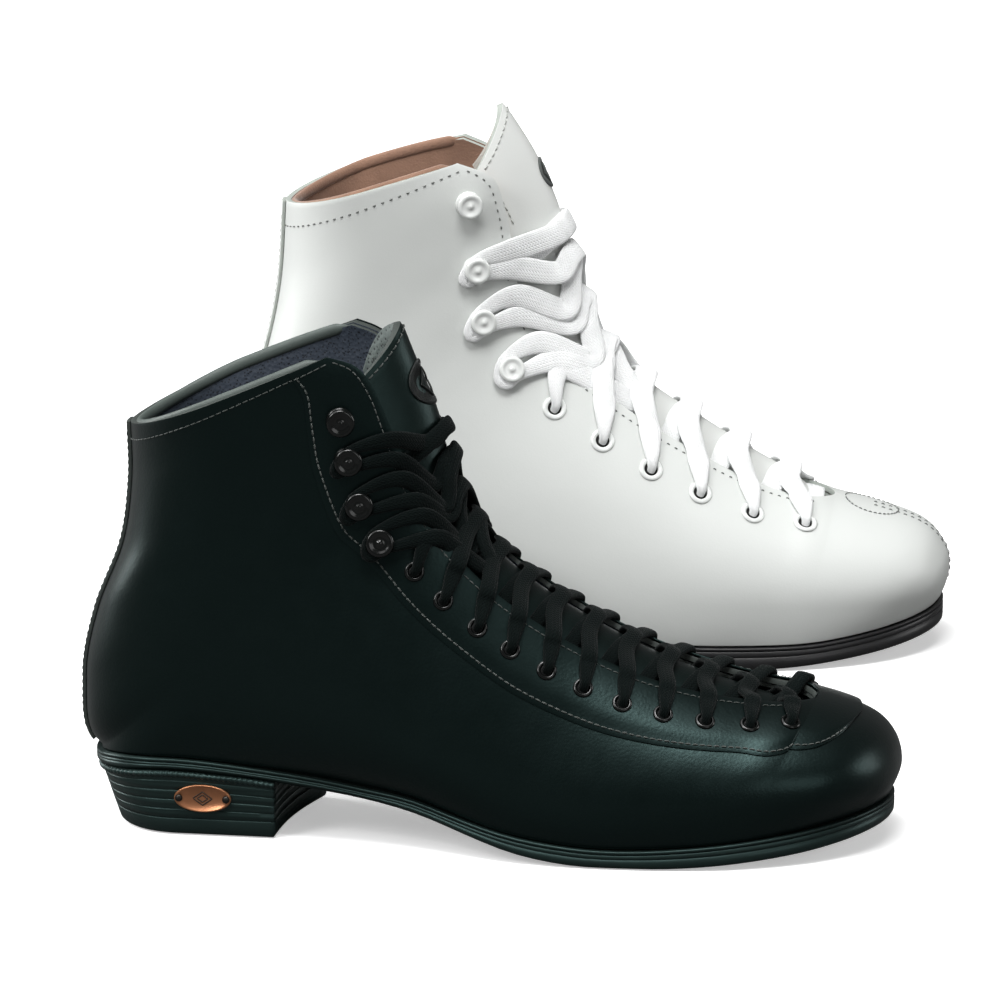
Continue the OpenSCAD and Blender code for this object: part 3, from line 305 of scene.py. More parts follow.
def shell(name, b, outer, inner, mats, edge, parts):
    """Closed solid between two grids of points. parts gives the material of its outer face,
    its inner face and its rim."""
    nr, nc = outer.shape[:2]
    n = nr * nc
    idx = np.arange(n).reshape(nr, nc)
    q = grid_faces(idx)
    faces = [q, q[:, ::-1] + n]
    kinds = [np.full(len(q), parts[0]), np.full(len(q), parts[1])]
    for line in (idx[0], idx[-1], idx[:, 0], idx[:, -1]):
        e = np.stack([line[:-1], line[1:], line[1:] + n, line[:-1] + n], -1)
        faces.append(e)
        kinds.append(np.full(len(e), parts[2]))
    ob = mesh_object(name, place(b, np.concatenate([outer.reshape(-1, 3), inner.reshape(-1, 3)])),
                     np.concatenate(faces), mats, np.concatenate(kinds))
    clean(ob, 2e-5)
    bevel(ob, edge)
    return ob


def sweep(rings, closed=False):
    """Vertices and faces of a tube through rings, shape (rings, points, 3)."""
    nr, nc = rings.shape[:2]
    idx = np.arange(nr * nc).reshape(nr, nc)
    a = idx if closed else idx[:-1]
    c = np.roll(idx, -1, 0) if closed else idx[1:]
    q = np.stack([a, np.roll(a, -1, 1), np.roll(c, -1, 1), c], -1).reshape(-1, 4)
    faces = [tuple(f) for f in q]
    if not closed:
        faces += [tuple(idx[0][::-1]), tuple(idx[-1])]
    return rings.reshape(-1, 3), faces


def join(parts):
    """One list of vertices and faces out of several."""
    verts, faces, n = [], [], 0
    for v, f in parts:
        verts.append(v)
        faces += [tuple(i + n for i in q) for q in f]
        n += len(v)
    return np.concatenate(verts), faces


def spline(points, each):
    """Points on a smooth curve through the given rows, each is the number per stretch."""
    points = np.asarray(points, float)
    n = len(points)
    return row_at(points, np.linspace(0, n - 1, (n - 1) * each + 1))


def along(points):
    """Distance along a line of points."""
    return np.concatenate([[0], np.cumsum(np.linalg.norm(np.diff(points, axis=0), axis=1))])


def resample(points, step):
    d = along(points)
    at = np.arange(0, d[-1], step)
    return np.stack([np.interp(at, d, points[:, k]) for k in range(points.shape[1])], -1)


def tube(points, normals, width, height, sides=10, power=2.0, closed=False):
    """Flat cord along points: width across, height along the normals."""
    tangents = unit(np.gradient(points, axis=0))
    wide = unit(np.cross(tangents, normals))
    for i in range(1, len(wide)):
        if wide[i] @ wide[i - 1] < 0:
            wide[i] = -wide[i]
    up = np.cross(wide, tangents)
    a = np.arange(sides) * 2 * math.pi / sides
    ca = np.sign(np.cos(a)) * np.abs(np.cos(a)) ** (2 / power)
    sa = np.sign(np.sin(a)) * np.abs(np.sin(a)) ** (2 / power)
    w = np.broadcast_to(np.asarray(width, float), (len(points),))[:, None, None]
    h = np.broadcast_to(np.asarray(height, float), (len(points),))[:, None, None]
    rings = (points[:, None] + wide[:, None] * (ca[None, :, None] * w / 2)
             + up[:, None] * (sa[None, :, None] * h / 2))
    return sweep(rings, closed)


def stitch_row(points, normals, pitch, length, radius, lift=.15):
    """Thread along a seam: one short arched stitch for each pitch."""
    d = along(points)
    out = []
    for k in range(int(d[-1] / pitch)):
        at = (k + .5) * pitch + np.array([-.5, -.3, 0, .3, .5]) * length
        p = np.stack([np.interp(at, d, points[:, j]) for j in range(3)], -1)
        n = unit(np.stack([np.interp(at, d, normals[:, j]) for j in range(3)], -1))
        p = p + n * (np.array([-.9, .3, .6, .3, -.9]) * radius + lift)[:, None]
        out.append(tube(p, n, 2 * radius * np.array([.7, 1, 1, 1, .7]), 1.5 * radius, 6))
    return join(out)


def lathe(profile, count=28):
    """Solid of revolution about z from (radius, height) pairs, as a list of rings."""
    profile = np.asarray(profile, float)
    a = np.arange(count) * 2 * math.pi / count
    rings = np.stack([profile[:, :1] * np.cos(a), profile[:, :1] * np.sin(a),
                      np.repeat(profile[:, 1:], count, 1)], -1)
    return sweep(rings)


def stand(shape, p, n, up=(0.0, 0.0, 1.0)):
    """Turns a shape so that its z follows n, and sets it at p."""
    n = unit(np.asarray(n, float))
    x = unit(np.cross(np.asarray(up, float), n))
    y = np.cross(n, x)
    v, f = shape
    return p + v[:, :1] * x + v[:, 1:2] * y + v[:, 2:] * n, f


def piece(ob, body, nodes=()):
    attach(ob, body)
    if nodes:
        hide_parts(*nodes)
    return ob


def part(b, name, shape, mat, nodes=(), body="_boot", outward=False):
    """A piece of one boot, from vertices and faces in boot millimetres."""
    v, f = shape
    ob = mesh_object(b["name"] + name, place(b, v), f, [mat])
    if outward:
        clean(ob)
    return piece(ob, b["name"] + body, nodes)


# ---- Materials ----

M = {}


def put(node, socket, value):
    node.inputs[socket].default_value = value


def material(name, color, rough, bumps=(), vary=.12, vary_scale=40, metal=0, coat=0,
             coat_rough=.2, sheen=0, spots=None, specular=.5, tint=(1, 1, 1)):
    """Principled surface. bumps are (kind, scale, height in mm), spots (colour, scale, share)."""
    m = M[name] = bpy.data.materials.new(name)
    m.use_nodes = True
    nt = m.node_tree
    new, link = nt.nodes.new, nt.links.new
    bsdf = nt.nodes["Principled BSDF"]
    put(bsdf, "Metallic", metal)
    put(bsdf, "Coat Weight", coat)
    put(bsdf, "Coat Roughness", coat_rough)
    put(bsdf, "Sheen Weight", sheen)
    put(bsdf, "Sheen Roughness", .4)
    put(bsdf, "Specular IOR Level", specular)
    put(bsdf, "Specular Tint", (*tint, 1))
    coord = new("ShaderNodeTexCoord")

    def noise(kind, scale):
        cells = kind in ("pebble", "cells", "dots")
        node = new("ShaderNodeTexVoronoi" if cells
                   else "ShaderNodeTexWave" if kind in ("braid", "layers")
                   else "ShaderNodeTexNoise")
        put(node, "Scale", scale)
        if kind == "pebble":
            node.feature = "SMOOTH_F1"
        if kind == "braid":
            node.bands_direction = "DIAGONAL"
            put(node, "Distortion", 1.5)
        if kind == "layers":
            node.bands_direction = "Z"
            put(node, "Distortion", .4)
        if kind == "noise":
            put(node, "Detail", 4)
        link(coord.outputs["Object"], node.inputs["Vector"])
        return node.outputs["Distance"] if cells else node.outputs[0]

    low = new("ShaderNodeMix")
    low.data_type = "RGBA"
    put(low, 6, (*[c * (1 - vary) for c in color], 1))
    put(low, 7, (*[min(1, c * (1 + vary)) for c in color], 1))
    link(noise("noise", vary_scale), low.inputs[0])
    result = low.outputs[2]
    if spots:
        ramp = new("ShaderNodeValToRGB")
        ramp.color_ramp.elements[0].position = max(0, spots[2] - .06)
        ramp.color_ramp.elements[1].position = spots[2] + .06
        link(noise("dots", spots[1]), ramp.inputs[0])
        over = new("ShaderNodeMix")
        over.data_type = "RGBA"
        link(ramp.outputs[0], over.inputs[0])
        put(over, 6, (*spots[0], 1))
        link(result, over.inputs[7])
        result = over.outputs[2]
    link(result, bsdf.inputs["Base Color"])
    span = new("ShaderNodeMapRange")
    put(span, "To Min", max(.02, rough * .85))
    put(span, "To Max", min(1, rough * 1.15))
    link(noise("noise", vary_scale * 6), span.inputs["Value"])
    link(span.outputs[0], bsdf.inputs["Roughness"])
    last = None
    for kind, scale, height in bumps:
        bump = new("ShaderNodeBump")
        put(bump, "Strength", 1)
        put(bump, "Distance", height / 1000)
        link(noise(kind, scale), bump.inputs["Height"])
        if last:
            link(last, bump.inputs["Normal"])
        last = bump.outputs[0]
    if last:
        link(last, bsdf.inputs["Normal"])
    return m


def woven(name, color, rough, pitch, height, sheen, specular=.25, tint=(1, 1, 1)):
    """Braided cord: chevron ridges from the cord's own length and width, in millimetres."""
    m = material(name, color, rough, (("noise", 1500, .08),), .12, 200, sheen=sheen,
                 specular=specular, tint=tint)
    nt = m.node_tree
    new, link = nt.nodes.new, nt.links.new
    bsdf = nt.nodes["Principled BSDF"]
    last = bsdf.inputs["Normal"].links[0].from_node
    where = new("ShaderNodeAttribute")
    where.attribute_name = "weave"
    split = new("ShaderNodeSeparateXYZ")
    link(where.outputs["Vector"], split.inputs[0])

    def calc(kind, a, c=None):
        node = new("ShaderNodeMath")
        node.operation = kind
        for k, v in enumerate((a, c)):
            if v is None:
                continue
            if isinstance(v, (int, float)):
                put(node, k, v)
            else:
                link(v, node.inputs[k])
        return node.outputs[0]

    length = calc("MULTIPLY", split.outputs[0], 2 * math.pi / pitch)
    rib = calc("MULTIPLY", split.outputs[1], 1.9)
    strand = calc("SINE", calc("ADD", length, calc("MULTIPLY", calc("PINGPONG", rib, 1.0), 5.0)))
    wale = calc("SINE", calc("MULTIPLY", split.outputs[1], 2 * math.pi / 1.05))
    bump = new("ShaderNodeBump")
    put(bump, "Strength", 1)
    put(bump, "Distance", height / 1000)
    link(calc("ADD", strand, calc("MULTIPLY", wale, .5)), bump.inputs["Height"])
    link(bump.outputs[0], last.inputs["Normal"])


material("leather_black", (.0008, .0022, .002), .33,
         [("pebble", 1000, .035), ("noise", 90, .1)], .2, 18,
         specular=.3, tint=GREEN_CAST)
material("edge_black", (.03, .038, .034), .75, [("noise", 900, .1)], .3, 300)
material("lining_black", (.035, .045, .062), .5,
         [("cells", 700, .16)], .25, 60, spots=((.008, .01, .014), 900, .28))
material("bind_black", (.07, .088, .08), .55, [("noise", 700, .06)], .2, 120)
material("mesh_black", (.13, .16, .15), .8, [("cells", 620, .15)], .15, 60,
         spots=((.02, .027, .026), 620, .3), sheen=.2)
material("tongue_black", (.0014, .003, .0026), .38,
         [("pebble", 1000, .035), ("noise", 70, .12)], .2, 25,
         specular=.3, tint=GREEN_CAST)
material("thread_black", (.05, .06, .054), .6, [("braid", 2500, .05)], .2, 200,
         sheen=.3)
woven("lace_black", (.0016, .002, .0019), .8, 1.5, .07, .05, .1, GREEN_CAST)
material("enamel_black", (.002, .0026, .0024), .2, [("noise", 60, .02)], .1,
         50, coat=.3, coat_rough=.08, specular=.3)
material("sole_black", (.006, .0105, .0095), .4,
         [("noise", 160, .12), ("noise", 1200, .03)], .25, 60,
         specular=.42, tint=GREEN_CAST)
material("heel_black", (.008, .014, .0128), .42,
         [("layers", 150, .1), ("noise", 700, .05)], .25, 70,
         specular=.42, tint=GREEN_CAST)
material("lift_black", (.007, .012, .011), .5, [("noise", 900, .08)], .2, 70,
         specular=.42, tint=GREEN_CAST)
material("copper", (.46, .2, .1), .34, [("noise", 900, .04)], .2, 200, metal=.85)
material("copper_dark", (.05, .03, .02), .5, [("noise", 900, .04)], .2, 200,
         metal=.5)
material("pin", (.03, .028, .025), .4, [("noise", 900, .03)], .2, 200, metal=.8)
# painted shade: near-black colour for discs that fill the eyelet bores
material("painted_hole_shade", (.002, .002, .002), .9, [("noise", 500, .05)], .1, 50)
material("leather_white", (.645, .665, .645), .42,
         [("pebble", 1500, .02), ("noise", 60, .14)], .035, 14, coat=.08,
         coat_rough=.35)
material("edge_white", (.34, .37, .34), .8, [("noise", 900, .1)], .25, 300)
material("suede", (.27, .155, .105), .95, [("noise", 1200, .25), ("noise", 200, .2)],
         .35, 90, sheen=.5)
material("felt", (.62, .6, .55), .9, [("noise", 1400, .2)], .1, 90, sheen=.4)
material("tongue_white", (.66, .675, .655), .45,
         [("pebble", 1500, .02), ("noise", 60, .14)], .035, 18)
material("thread_white", (.5, .52, .49), .7, [("braid", 2500, .05)], .1, 200)
material("thread_dark", (.16, .17, .16), .7, [("braid", 2500, .05)], .2, 200)
woven("lace_white", (.86, .87, .87), .85, 1.35, .055, .2)
material("enamel_white", (.78, .8, .78), .16, [("noise", 60, .02)], .03, 50,
         coat=1, coat_rough=.06)
material("sole_dark", (.01, .01, .011), .4,
         [("noise", 160, .12), ("noise", 1200, .03)], .2, 60)
material("footbed", (.09, .1, .12), .6, [("pebble", 900, .08)], .2, 60)
material("footbed_tan", (.36, .24, .16), .7, [("noise", 700, .1)], .2, 60)
material("board", (.42, .31, .21), .8, [("noise", 700, .1)], .2, 60)
material("cork", (.45, .3, .17), .9, [("cells", 500, .2)], .3, 200)
material("steel", (.5, .5, .5), .3, [("noise", 500, .03)], .1, 100, metal=1)
material("badge", (.006, .008, .0075), .4, [("braid", 1400, .1)], .2, 200)
material("badge_grey", (.1, .11, .105), .6, [("braid", 1400, .1)], .2, 200)

# Materials by use, where the name is not the use and the boot's colour
ODD = dict(
    black=dict(tongue_back="mesh_black", seam="thread_black", badge="badge"),
    white=dict(lining="suede", bind="suede", tongue_back="felt", seam="thread_dark",
               sole="sole_dark", heel="sole_dark", lift="sole_dark", badge="badge_grey"))
USES = ("leather", "edge", "lining", "bind", "tongue", "tongue_back", "thread", "seam",
        "lace", "enamel", "sole", "heel", "lift", "badge")
# Last part of the white boot's slot names
WHITE_SLOTS = dict(lining="tan", facing="tan", badge="grey", sole="dark", welt="dark",
                   heel="dark", lift="dark")


def boot_set(b):
    """The boot's name, its materials by use and its slots by use."""
    name = b["name"]
    materials = {use: M[ODD[name].get(use, use + "_" + name)] for use in USES}
    slots = {use: use + "_" + (end if name == "white" else name)
             for use, end in WHITE_SLOTS.items()}
    return name, materials, slots


# ---- Upper ----

def stations(end=18.0, start=.02):
    """Stations from the toe to the collar, closer together where the throat begins."""
    return np.concatenate([np.linspace(start, .3, 9)[:-1], np.linspace(.3, 4, 42)[:-1],
                           4 + .6 * np.linspace(0, 1, 15)[:-1] ** 2,
                           np.linspace(4.6, end, 116)])


def hide(name, b, grids, thickness, mats, inside, rim, edge):
    """One sheet of leather from grids of points on its two sides, thickened inwards."""
    verts, faces, n = [], [], 0
    for side, g in grids:
        nr, nc = g.shape[:2]
        idx = np.arange(nr * nc).reshape(nr, nc) + n
        q = grid_faces(idx)
        faces.append(q if side == LATERAL else q[:, ::-1])
        verts.append(g.reshape(-1, 3))
        n += nr * nc
    ob = mesh_object(name, place(b, np.concatenate(verts)), np.concatenate(faces), mats)
    clean(ob, 3e-5, False)
    solid = ob.modifiers.new("thickness", "SOLIDIFY")
    solid.thickness = thickness / 1000
    solid.offset = -1
    solid.material_offset = inside
    solid.material_offset_rim = rim
    bevel(ob, edge, 60)
    return ob


def stiffened(t, u):
    """Share of a stiffener under the leather: 1 at the toe and round the heel."""
    back = smooth((t - 9) / 2) * smooth((16.6 - t) / 1.6) * smooth((1.6 - u) / .6)
    return np.maximum(smooth((4.2 - t) / 1.2), back)


def eyestay_u(t):
    return curve_at(EYESTAY_EDGE, t)


def build_upper(b):
    name, s, slots = boot_set(b)
    t, u = stations()[:, None], np.linspace(0, 2, 61)[None, :]
    upper = hide(name + "_upper", b, [(k, skin(b, t, u, k)) for k in (LATERAL, MEDIAL)],
                 LEATHER, [s["leather"], s["lining"], s["edge"]], 1, 2, .35)
    piece(upper, name + "_boot", [name + "_quarter_lateral", name + "_quarter_medial"])
    t, u = stations(17.93, .5)[:, None], np.linspace(.02, 1.985, 51)[None, :]
    lining = hide(name + "_lining_skin", b,
                  [(k, skin(b, t, u, k, -(LEATHER + .3 + 1.2 * stiffened(t, u))))
                   for k in (LATERAL, MEDIAL)], LINING, [s["lining"], s["edge"]], 0, 1, .3)
    piece(lining, name + "_boot", [name + "_lining", name + "_facing"])
    # Rolled edge round the collar
    u = np.concatenate([np.linspace(1.93, 0, 70), np.linspace(0, 1.93, 70)[1:]])
    side = np.array([LATERAL] * 70 + [MEDIAL] * 69)[:, None]
    ring = skin_point(b, 17.9, u, 1)
    n = skin_normal(b, 17.9, u, 1)
    mid = middle(b, ring[:, 0], ring[:, 2])
    ring[:, 1] = mid + side[:, 0] * (ring[:, 1] - mid)
    n[:, 1] *= side[:, 0]
    taper = np.clip((1.93 - u) / .12, .05, 1)
    roll = tube(ring - n * (2.4 + .8 * taper)[:, None], n, 4.4 * taper, 2.7 * taper, 14)
    part(b, "_collar_roll", roll, s["bind"], ())


def build_backstay(b):
    name, s, _ = boot_set(b)
    t = np.linspace(13.1, 17.98, 90)
    us = np.linspace(.085, .008, 7)

    def across(off):
        lat, med = ([skin(b, t, u, side, off * (1 if k else .82)) for k, u in enumerate(us)]
                    for side in (LATERAL, MEDIAL))
        return np.stack(lat + med[::-1], 1)

    strip = shell(name + "_backstay_strip", b, across(1.6), across(.15),
                  [s["leather"], s["edge"]], .3, (0, 0, 1))
    piece(strip, name + "_boot", [name + "_backstay"])
    rows = []
    for k in (LATERAL, MEDIAL):
        t2 = np.linspace(13.3, 17.8, 200)
        rows.append(stitch_row(skin(b, t2, .062, k, 1.6), skin_normal(b, t2, .062, k),
                               2.6, 1.8, .2, 0.0))
    part(b, "_backstay_thread", join(rows), s["thread"])


def build_eyestay():
    b, (_, s, _) = BLACK, boot_set(BLACK)
    t = np.concatenate([np.linspace(3.2, 4, 24)[:-1], 4 + .6 * np.linspace(0, 1, 15)[:-1] ** 2,
                        np.linspace(4.6, 17.98, 130)])[:, None]
    f = np.linspace(0, 1, 16)[None, :]
    u = eyestay_u(t) + (np.where(t < 4, 2, 1.998) - eyestay_u(t)) * f
    off = SKIVED + (EYESTAY - SKIVED) * smooth(f / .3) + 0 * u
    ob = hide("black_eyestay", b, [(k, skin(b, t, u, k, off)) for k in (LATERAL, MEDIAL)],
              .6, [s["leather"], s["leather"]], 0, 1, .2)
    piece(ob, "black_boot", ["black_eyestay_lateral", "black_eyestay_medial"])


def build_stitches(b):
    name, s, _ = boot_set(b)
    black = name == "black"
    up = b["raise_"]
    seam = (2.6, 1.9, .2) if black else (3.4, 1.0, .27)
    rows = []
    for k in (LATERAL, MEDIAL):
        if black:
            t = np.linspace(3.3, 17.75, 500)
            u = eyestay_u(t) + .035
            off = SKIVED + (EYESTAY - SKIVED) * smooth(.035 / (2 - eyestay_u(t)) / .3)
            rows.append(stitch_row(skin(b, t, u, k, off), skin_normal(b, t, u, k),
                                   2.5, 1.9, .27))
        # round the collar, then down the throat edge
        u = np.linspace(.1, 1.93, 260)
        off = np.where(black & (u > eyestay_u(17.6)), up, 0)
        rows.append(stitch_row(skin(b, COLLAR_SEAM, u, k, off),
                               skin_normal(b, COLLAR_SEAM, u, k), *seam))
        t = np.linspace(17.6, 4.25, 420)
        rows.append(stitch_row(skin(b, t, 1.945 if black else 1.93, k, up),
                               skin_normal(b, t, 1.94, k), *seam))
    part(b, "_thread", join(rows), s["seam"], ())
    if not black:
        # the toe's centre seam and the oval tack at its end
        rows = []
        t = np.linspace(.6, 3.6, 200)
        for k in (LATERAL, MEDIAL):
            rows.append(stitch_row(skin(b, t, 1.965, k), skin_normal(b, t, 1.965, k),
                                   3.0, 1.3, .25))
        a = np.linspace(0, 2 * math.pi, 160)
        t = 3.55 + .3 * np.cos(a)
        off = .16 * np.sin(a)
        p = skin_point(b, t, 2 - np.abs(off), 1)
        m = middle(b, p[:, 0], p[:, 2])
        p[:, 1] = m + np.sign(off) * (p[:, 1] - m)
        n = skin_normal(b, t, np.minimum(2 - np.abs(off), 1.98), 1)
        n[:, 1] *= np.sign(off)
        rows.append(stitch_row(p, n, 2.0, 1.2, .25))
        part(b, "_toe_thread", join(rows), s["seam"])


# ---- Tongue ----

def top_drop(b, v):
    """Rows by which the tongue's top edge falls away at v."""
    return b["drop"] * np.abs(v) ** np.where(np.asarray(v) < 0, *b["falls"])


def build_tongue(b):
    name, s, _ = boot_set(b)
    r = np.concatenate([np.linspace(0, FREE_ROW, 110)[:-1],
                        FREE_ROW + 2 * np.linspace(0, 1, 40)])[:, None]
    v = np.sin(np.linspace(-1, 1, 45) * math.pi / 2 * .98)[None, :]
    v = v / np.abs(v).max()
    row = r - np.clip((r - FREE_ROW) / 2, 0, 1) * top_drop(b, v)
    thick = TONGUE_T * row_at(b["tongue"], np.clip(row, 0, TOP_ROW))[..., 5] * (1 - .5 * v * v)
    # the padding rises between its stitched border and its middle
    border = smooth((1 - np.abs(v)) / .18) * smooth((12.02 - r) / .3)
    front = tongue_point(b, row, v, -.5 * (1 - border))
    back = tongue_point(b, row, v, -thick * (.8 + .2 * border))
    ob = shell(name + "_tongue_pad", b, front, back, [s["tongue"], s["tongue_back"], s["edge"]],
               .55, (0, 1, 2))
    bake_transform(ob)
    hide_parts(name + "_tongue", name + "_tongue_flap")
    # border stitches on the front and the back of the free top
    seam = 2.8, 1.9, .26
    back_off = -TONGUE_T * .95 * (1 - .5 * STITCHED_V ** 2)
    side_r = 10.1 + 1.75 * np.linspace(0, 1, 160)
    rows = []
    for k in (-STITCHED_V, STITCHED_V):
        rr = side_r - np.clip((side_r - FREE_ROW) / 2, 0, 1) * top_drop(b, k)
        n = unit(tongue_point(b, rr, k, 1.0) - tongue_point(b, rr, k, 0.0))
        rows.append(stitch_row(tongue_point(b, rr, k, .05), n, *seam))
        rows.append(stitch_row(tongue_point(b, rr, k, back_off), -n, *seam))
    vv = np.linspace(-STITCHED_V, STITCHED_V, 120)
    rr = 11.85 - .93 * top_drop(b, vv)
    p = tongue_point(b, rr, vv, -.02)
    n = unit(tongue_point(b, rr, vv, 1.0) - p)
    rows.append(stitch_row(p, n, *seam))
    part(b, "_tongue_thread", join(rows), s["thread"], body="_flap")


def build_badge(b):
    """Plain embossed oval on the tongue: a ring, and a lozenge inside it."""
    name, s, slots = boot_set(b)
    high, wide = b["badge"]

    def on_badge(x, y, off):
        return tongue_point(b, BADGE_ROW + high * y, wide * x, off)

    def oval(scale, off):
        a = np.linspace(0, 2 * math.pi, 49)[:-1]
        return on_badge(scale * np.cos(a), scale * np.sin(a), off)

    rings = np.stack([oval(.02, .25), oval(.78, .25), oval(.8, .55), oval(.84, .85),
                      oval(.95, .85), oval(1, .5), oval(1, .05)])
    lozenge = np.array([[0, .62], [.5, 0], [0, -.62], [-.5, 0]])
    path = np.concatenate([np.linspace(lozenge[k], lozenge[(k + 1) % 4], 12)[:-1]
                           for k in range(4)])
    p = on_badge(path[:, 0], path[:, 1], .5)
    n = unit(on_badge(path[:, 0], path[:, 1], 1.0) - p)
    mark = tube(p, n, .8, .7, 8, closed=True)
    part(b, "_badge", join([sweep(rings), mark]), s["badge"], [name + "_tongue_badge"],
         "_flap")


# ---- Sole and heel ----

def outline(b, s, side, grow):
    """Sole line seen from above, s from the heel (0) to the toe (1), grown by grow."""
    def raw(q):
        x = b["heel_x"] + (b["toe_x"] - b["heel_x"]) * (1 - np.cos(math.pi * q)) / 2
        return np.stack([x, side * half_width(b, x)], -1)
    d = raw(np.minimum(s + .004, 1)) - raw(np.maximum(s - .004, 0))
    n = unit(np.stack([-side * d[:, 1], side * d[:, 0]], -1)) * side
    end = np.where(s <= 0, -1.0, np.where(s >= 1, 1.0, 0.0))
    p = raw(s)
    x = p[:, 0] + np.where(end != 0, end, n[:, 0] * side) * grow
    y = p[:, 1] + np.where(end != 0, 0, n[:, 1] * side) * grow
    return x, curve_at(b["plan"], x, 2) + y


def around(b, grow, height):
    """Ring of points round the sole: up one side and back down the other."""
    s = (1 - np.cos(np.linspace(0, math.pi, 90))) / 2
    s = .5 * s + .5 * np.linspace(0, 1, 90)
    xl, yl = outline(b, s, LATERAL, grow)
    xm, ym = outline(b, s, MEDIAL, grow)
    x = np.concatenate([xl, xm[-2:0:-1]])
    y = np.concatenate([yl, ym[-2:0:-1]])
    return np.stack([x, y, height(x)], -1)


def build_sole(b):
    name, s, slots = boot_set(b)

    def top(x):
        return curve_at(b["feather"], x) - 2.0

    def low(x):
        return np.maximum(curve_at(b["under"], x), 0)

    def at(h, lift=0.0):
        return lambda x: low(x) + (top(x) - low(x)) * h + lift

    profile = [(-30, at(1)), (1.0, at(1)), (1.45, at(1, -.35)), (1.5, at(.8)), (1.5, at(.72)),
               (1.15, at(.7)), (1.15, at(.67)), (1.5, at(.65)), (1.45, at(.3)),
               (1.35, at(0, .9)), (.9, at(0, .25)), (.3, at(0)), (-30, at(0))]
    rings = []
    for grow, h in profile:
        ring = around(b, max(grow, -7.0), h)
        if grow < -7:
            # the faces across the sole close along its middle line
            mid = curve_at(b["plan"], ring[:, 0], 2)
            ring[:, 1] = mid + (ring[:, 1] - mid) * .03
        rings.append(ring)
    v, f = sweep(np.stack(rings))
    f = [q for q in f if len(q) == 4]
    part(b, "_sole", (v, f), s["sole"], [name + "_outsole"], outward=True)

    def feather(d):
        return lambda x: curve_at(b["feather"], x) - d

    rings = [around(b, g, h) for g, h in [
        (-6.5, feather(.7)), (1.2, feather(.7)), (1.5, feather(.95)), (1.55, feather(1.3)),
        (1.5, feather(1.65)), (1.2, feather(1.88)), (-6.5, feather(1.88))]]
    part(b, "_welt_edge", sweep(np.stack(rings), True), s["sole"], [name + "_welt"],
         outward=True)


def heel_ring(b, z, inset=0.0, dip=2.2):
    """Ring round the heel at a height, which may change with x: z is a function of x."""
    f = np.linspace(1, 0, 44) ** 1.35
    out = []
    for side, fr in ((LATERAL, f), (MEDIAL, f[::-1][1:])):
        level = np.full_like(fr, 10.0)
        for _ in range(4):
            k = 1 - level / b["under"][1][1]
            back = b["heel_x"] - .9 + 8 * k
            breast = b["breast"][0] if side == LATERAL else b["breast"][1]
            x = back + (breast - back) * fr
            level = z(x)
        a = np.clip((b["heel_r"] - (np.mean(b["breast"]) - back) * fr) / b["heel_r"], 0, 1)
        y = (curve_at(b["plan"], x) + .9) * (1 - a ** 2.2) ** (1 / 2.2) * (1 - .07 * k)
        out.append(np.stack([x, curve_at(b["plan"], x, 2) + side * y, level], -1))
    ring = np.concatenate(out)
    g = np.linspace(0, 1, 14)[1:-1]
    a, c = ring[-1], ring[0]
    face = a + (c - a) * g[:, None]
    face[:, 0] -= dip * np.sin(math.pi * g)
    face[:, 2] = z(face[:, 0])
    ring = np.concatenate([ring, face])
    centre = ring.mean(0)
    d = ring - centre
    d[:, 2] = 0
    return ring - unit(d) * inset


def build_heel(b):
    name, s, slots = boot_set(b)

    def level(h):
        return lambda x: 6 + (curve_at(b["under"], x) - .05 - 6) * h

    layers = b["layers"]
    step = 1 / layers
    rings = [heel_ring(b, level(0), .25)]
    for k in range(layers):
        lo, hi = k / layers, (k + 1) / layers
        groove = .3 if k < layers - 1 else 0
        rings += [heel_ring(b, level(h), inset) for h, inset in
                  [(lo + .06 * step, 0), (hi - .14 * step, 0), (hi - .08 * step, .3),
                   (hi - .02 * step, groove)]]
    ob = part(b, "_heel", sweep(np.stack(rings)), s["heel"], [name + "_heel_block"],
              outward=True)
    bevel(ob, .25, 55)
    rings = [heel_ring(b, lambda x: 0 * x + z, i) for z, i in
             [(0, 1.0), (.3, .5), (.9, .1), (5.4, 0), (5.75, .15), (5.93, .5)]]
    part(b, "_lift", sweep(np.stack(rings)), s["lift"], [name + "_heel_lift"],
         outward=True)
    # ribbed rand between the heel and the sole
    ring = heel_ring(b, lambda x: curve_at(b["under"], x) - 1.3, 0)[:87]
    ring = resample(ring, .45)
    n = ring - np.array([40, 0, 0])
    n[:, 2] = 0
    wide = 1.9 + .35 * np.sign(np.sin(along(ring) * 2 * math.pi / 1.9))
    rand = tube(ring + unit(n) * .25, unit(n), wide, wide * .8, 8)
    part(b, "_rand", rand, s["heel"], ())


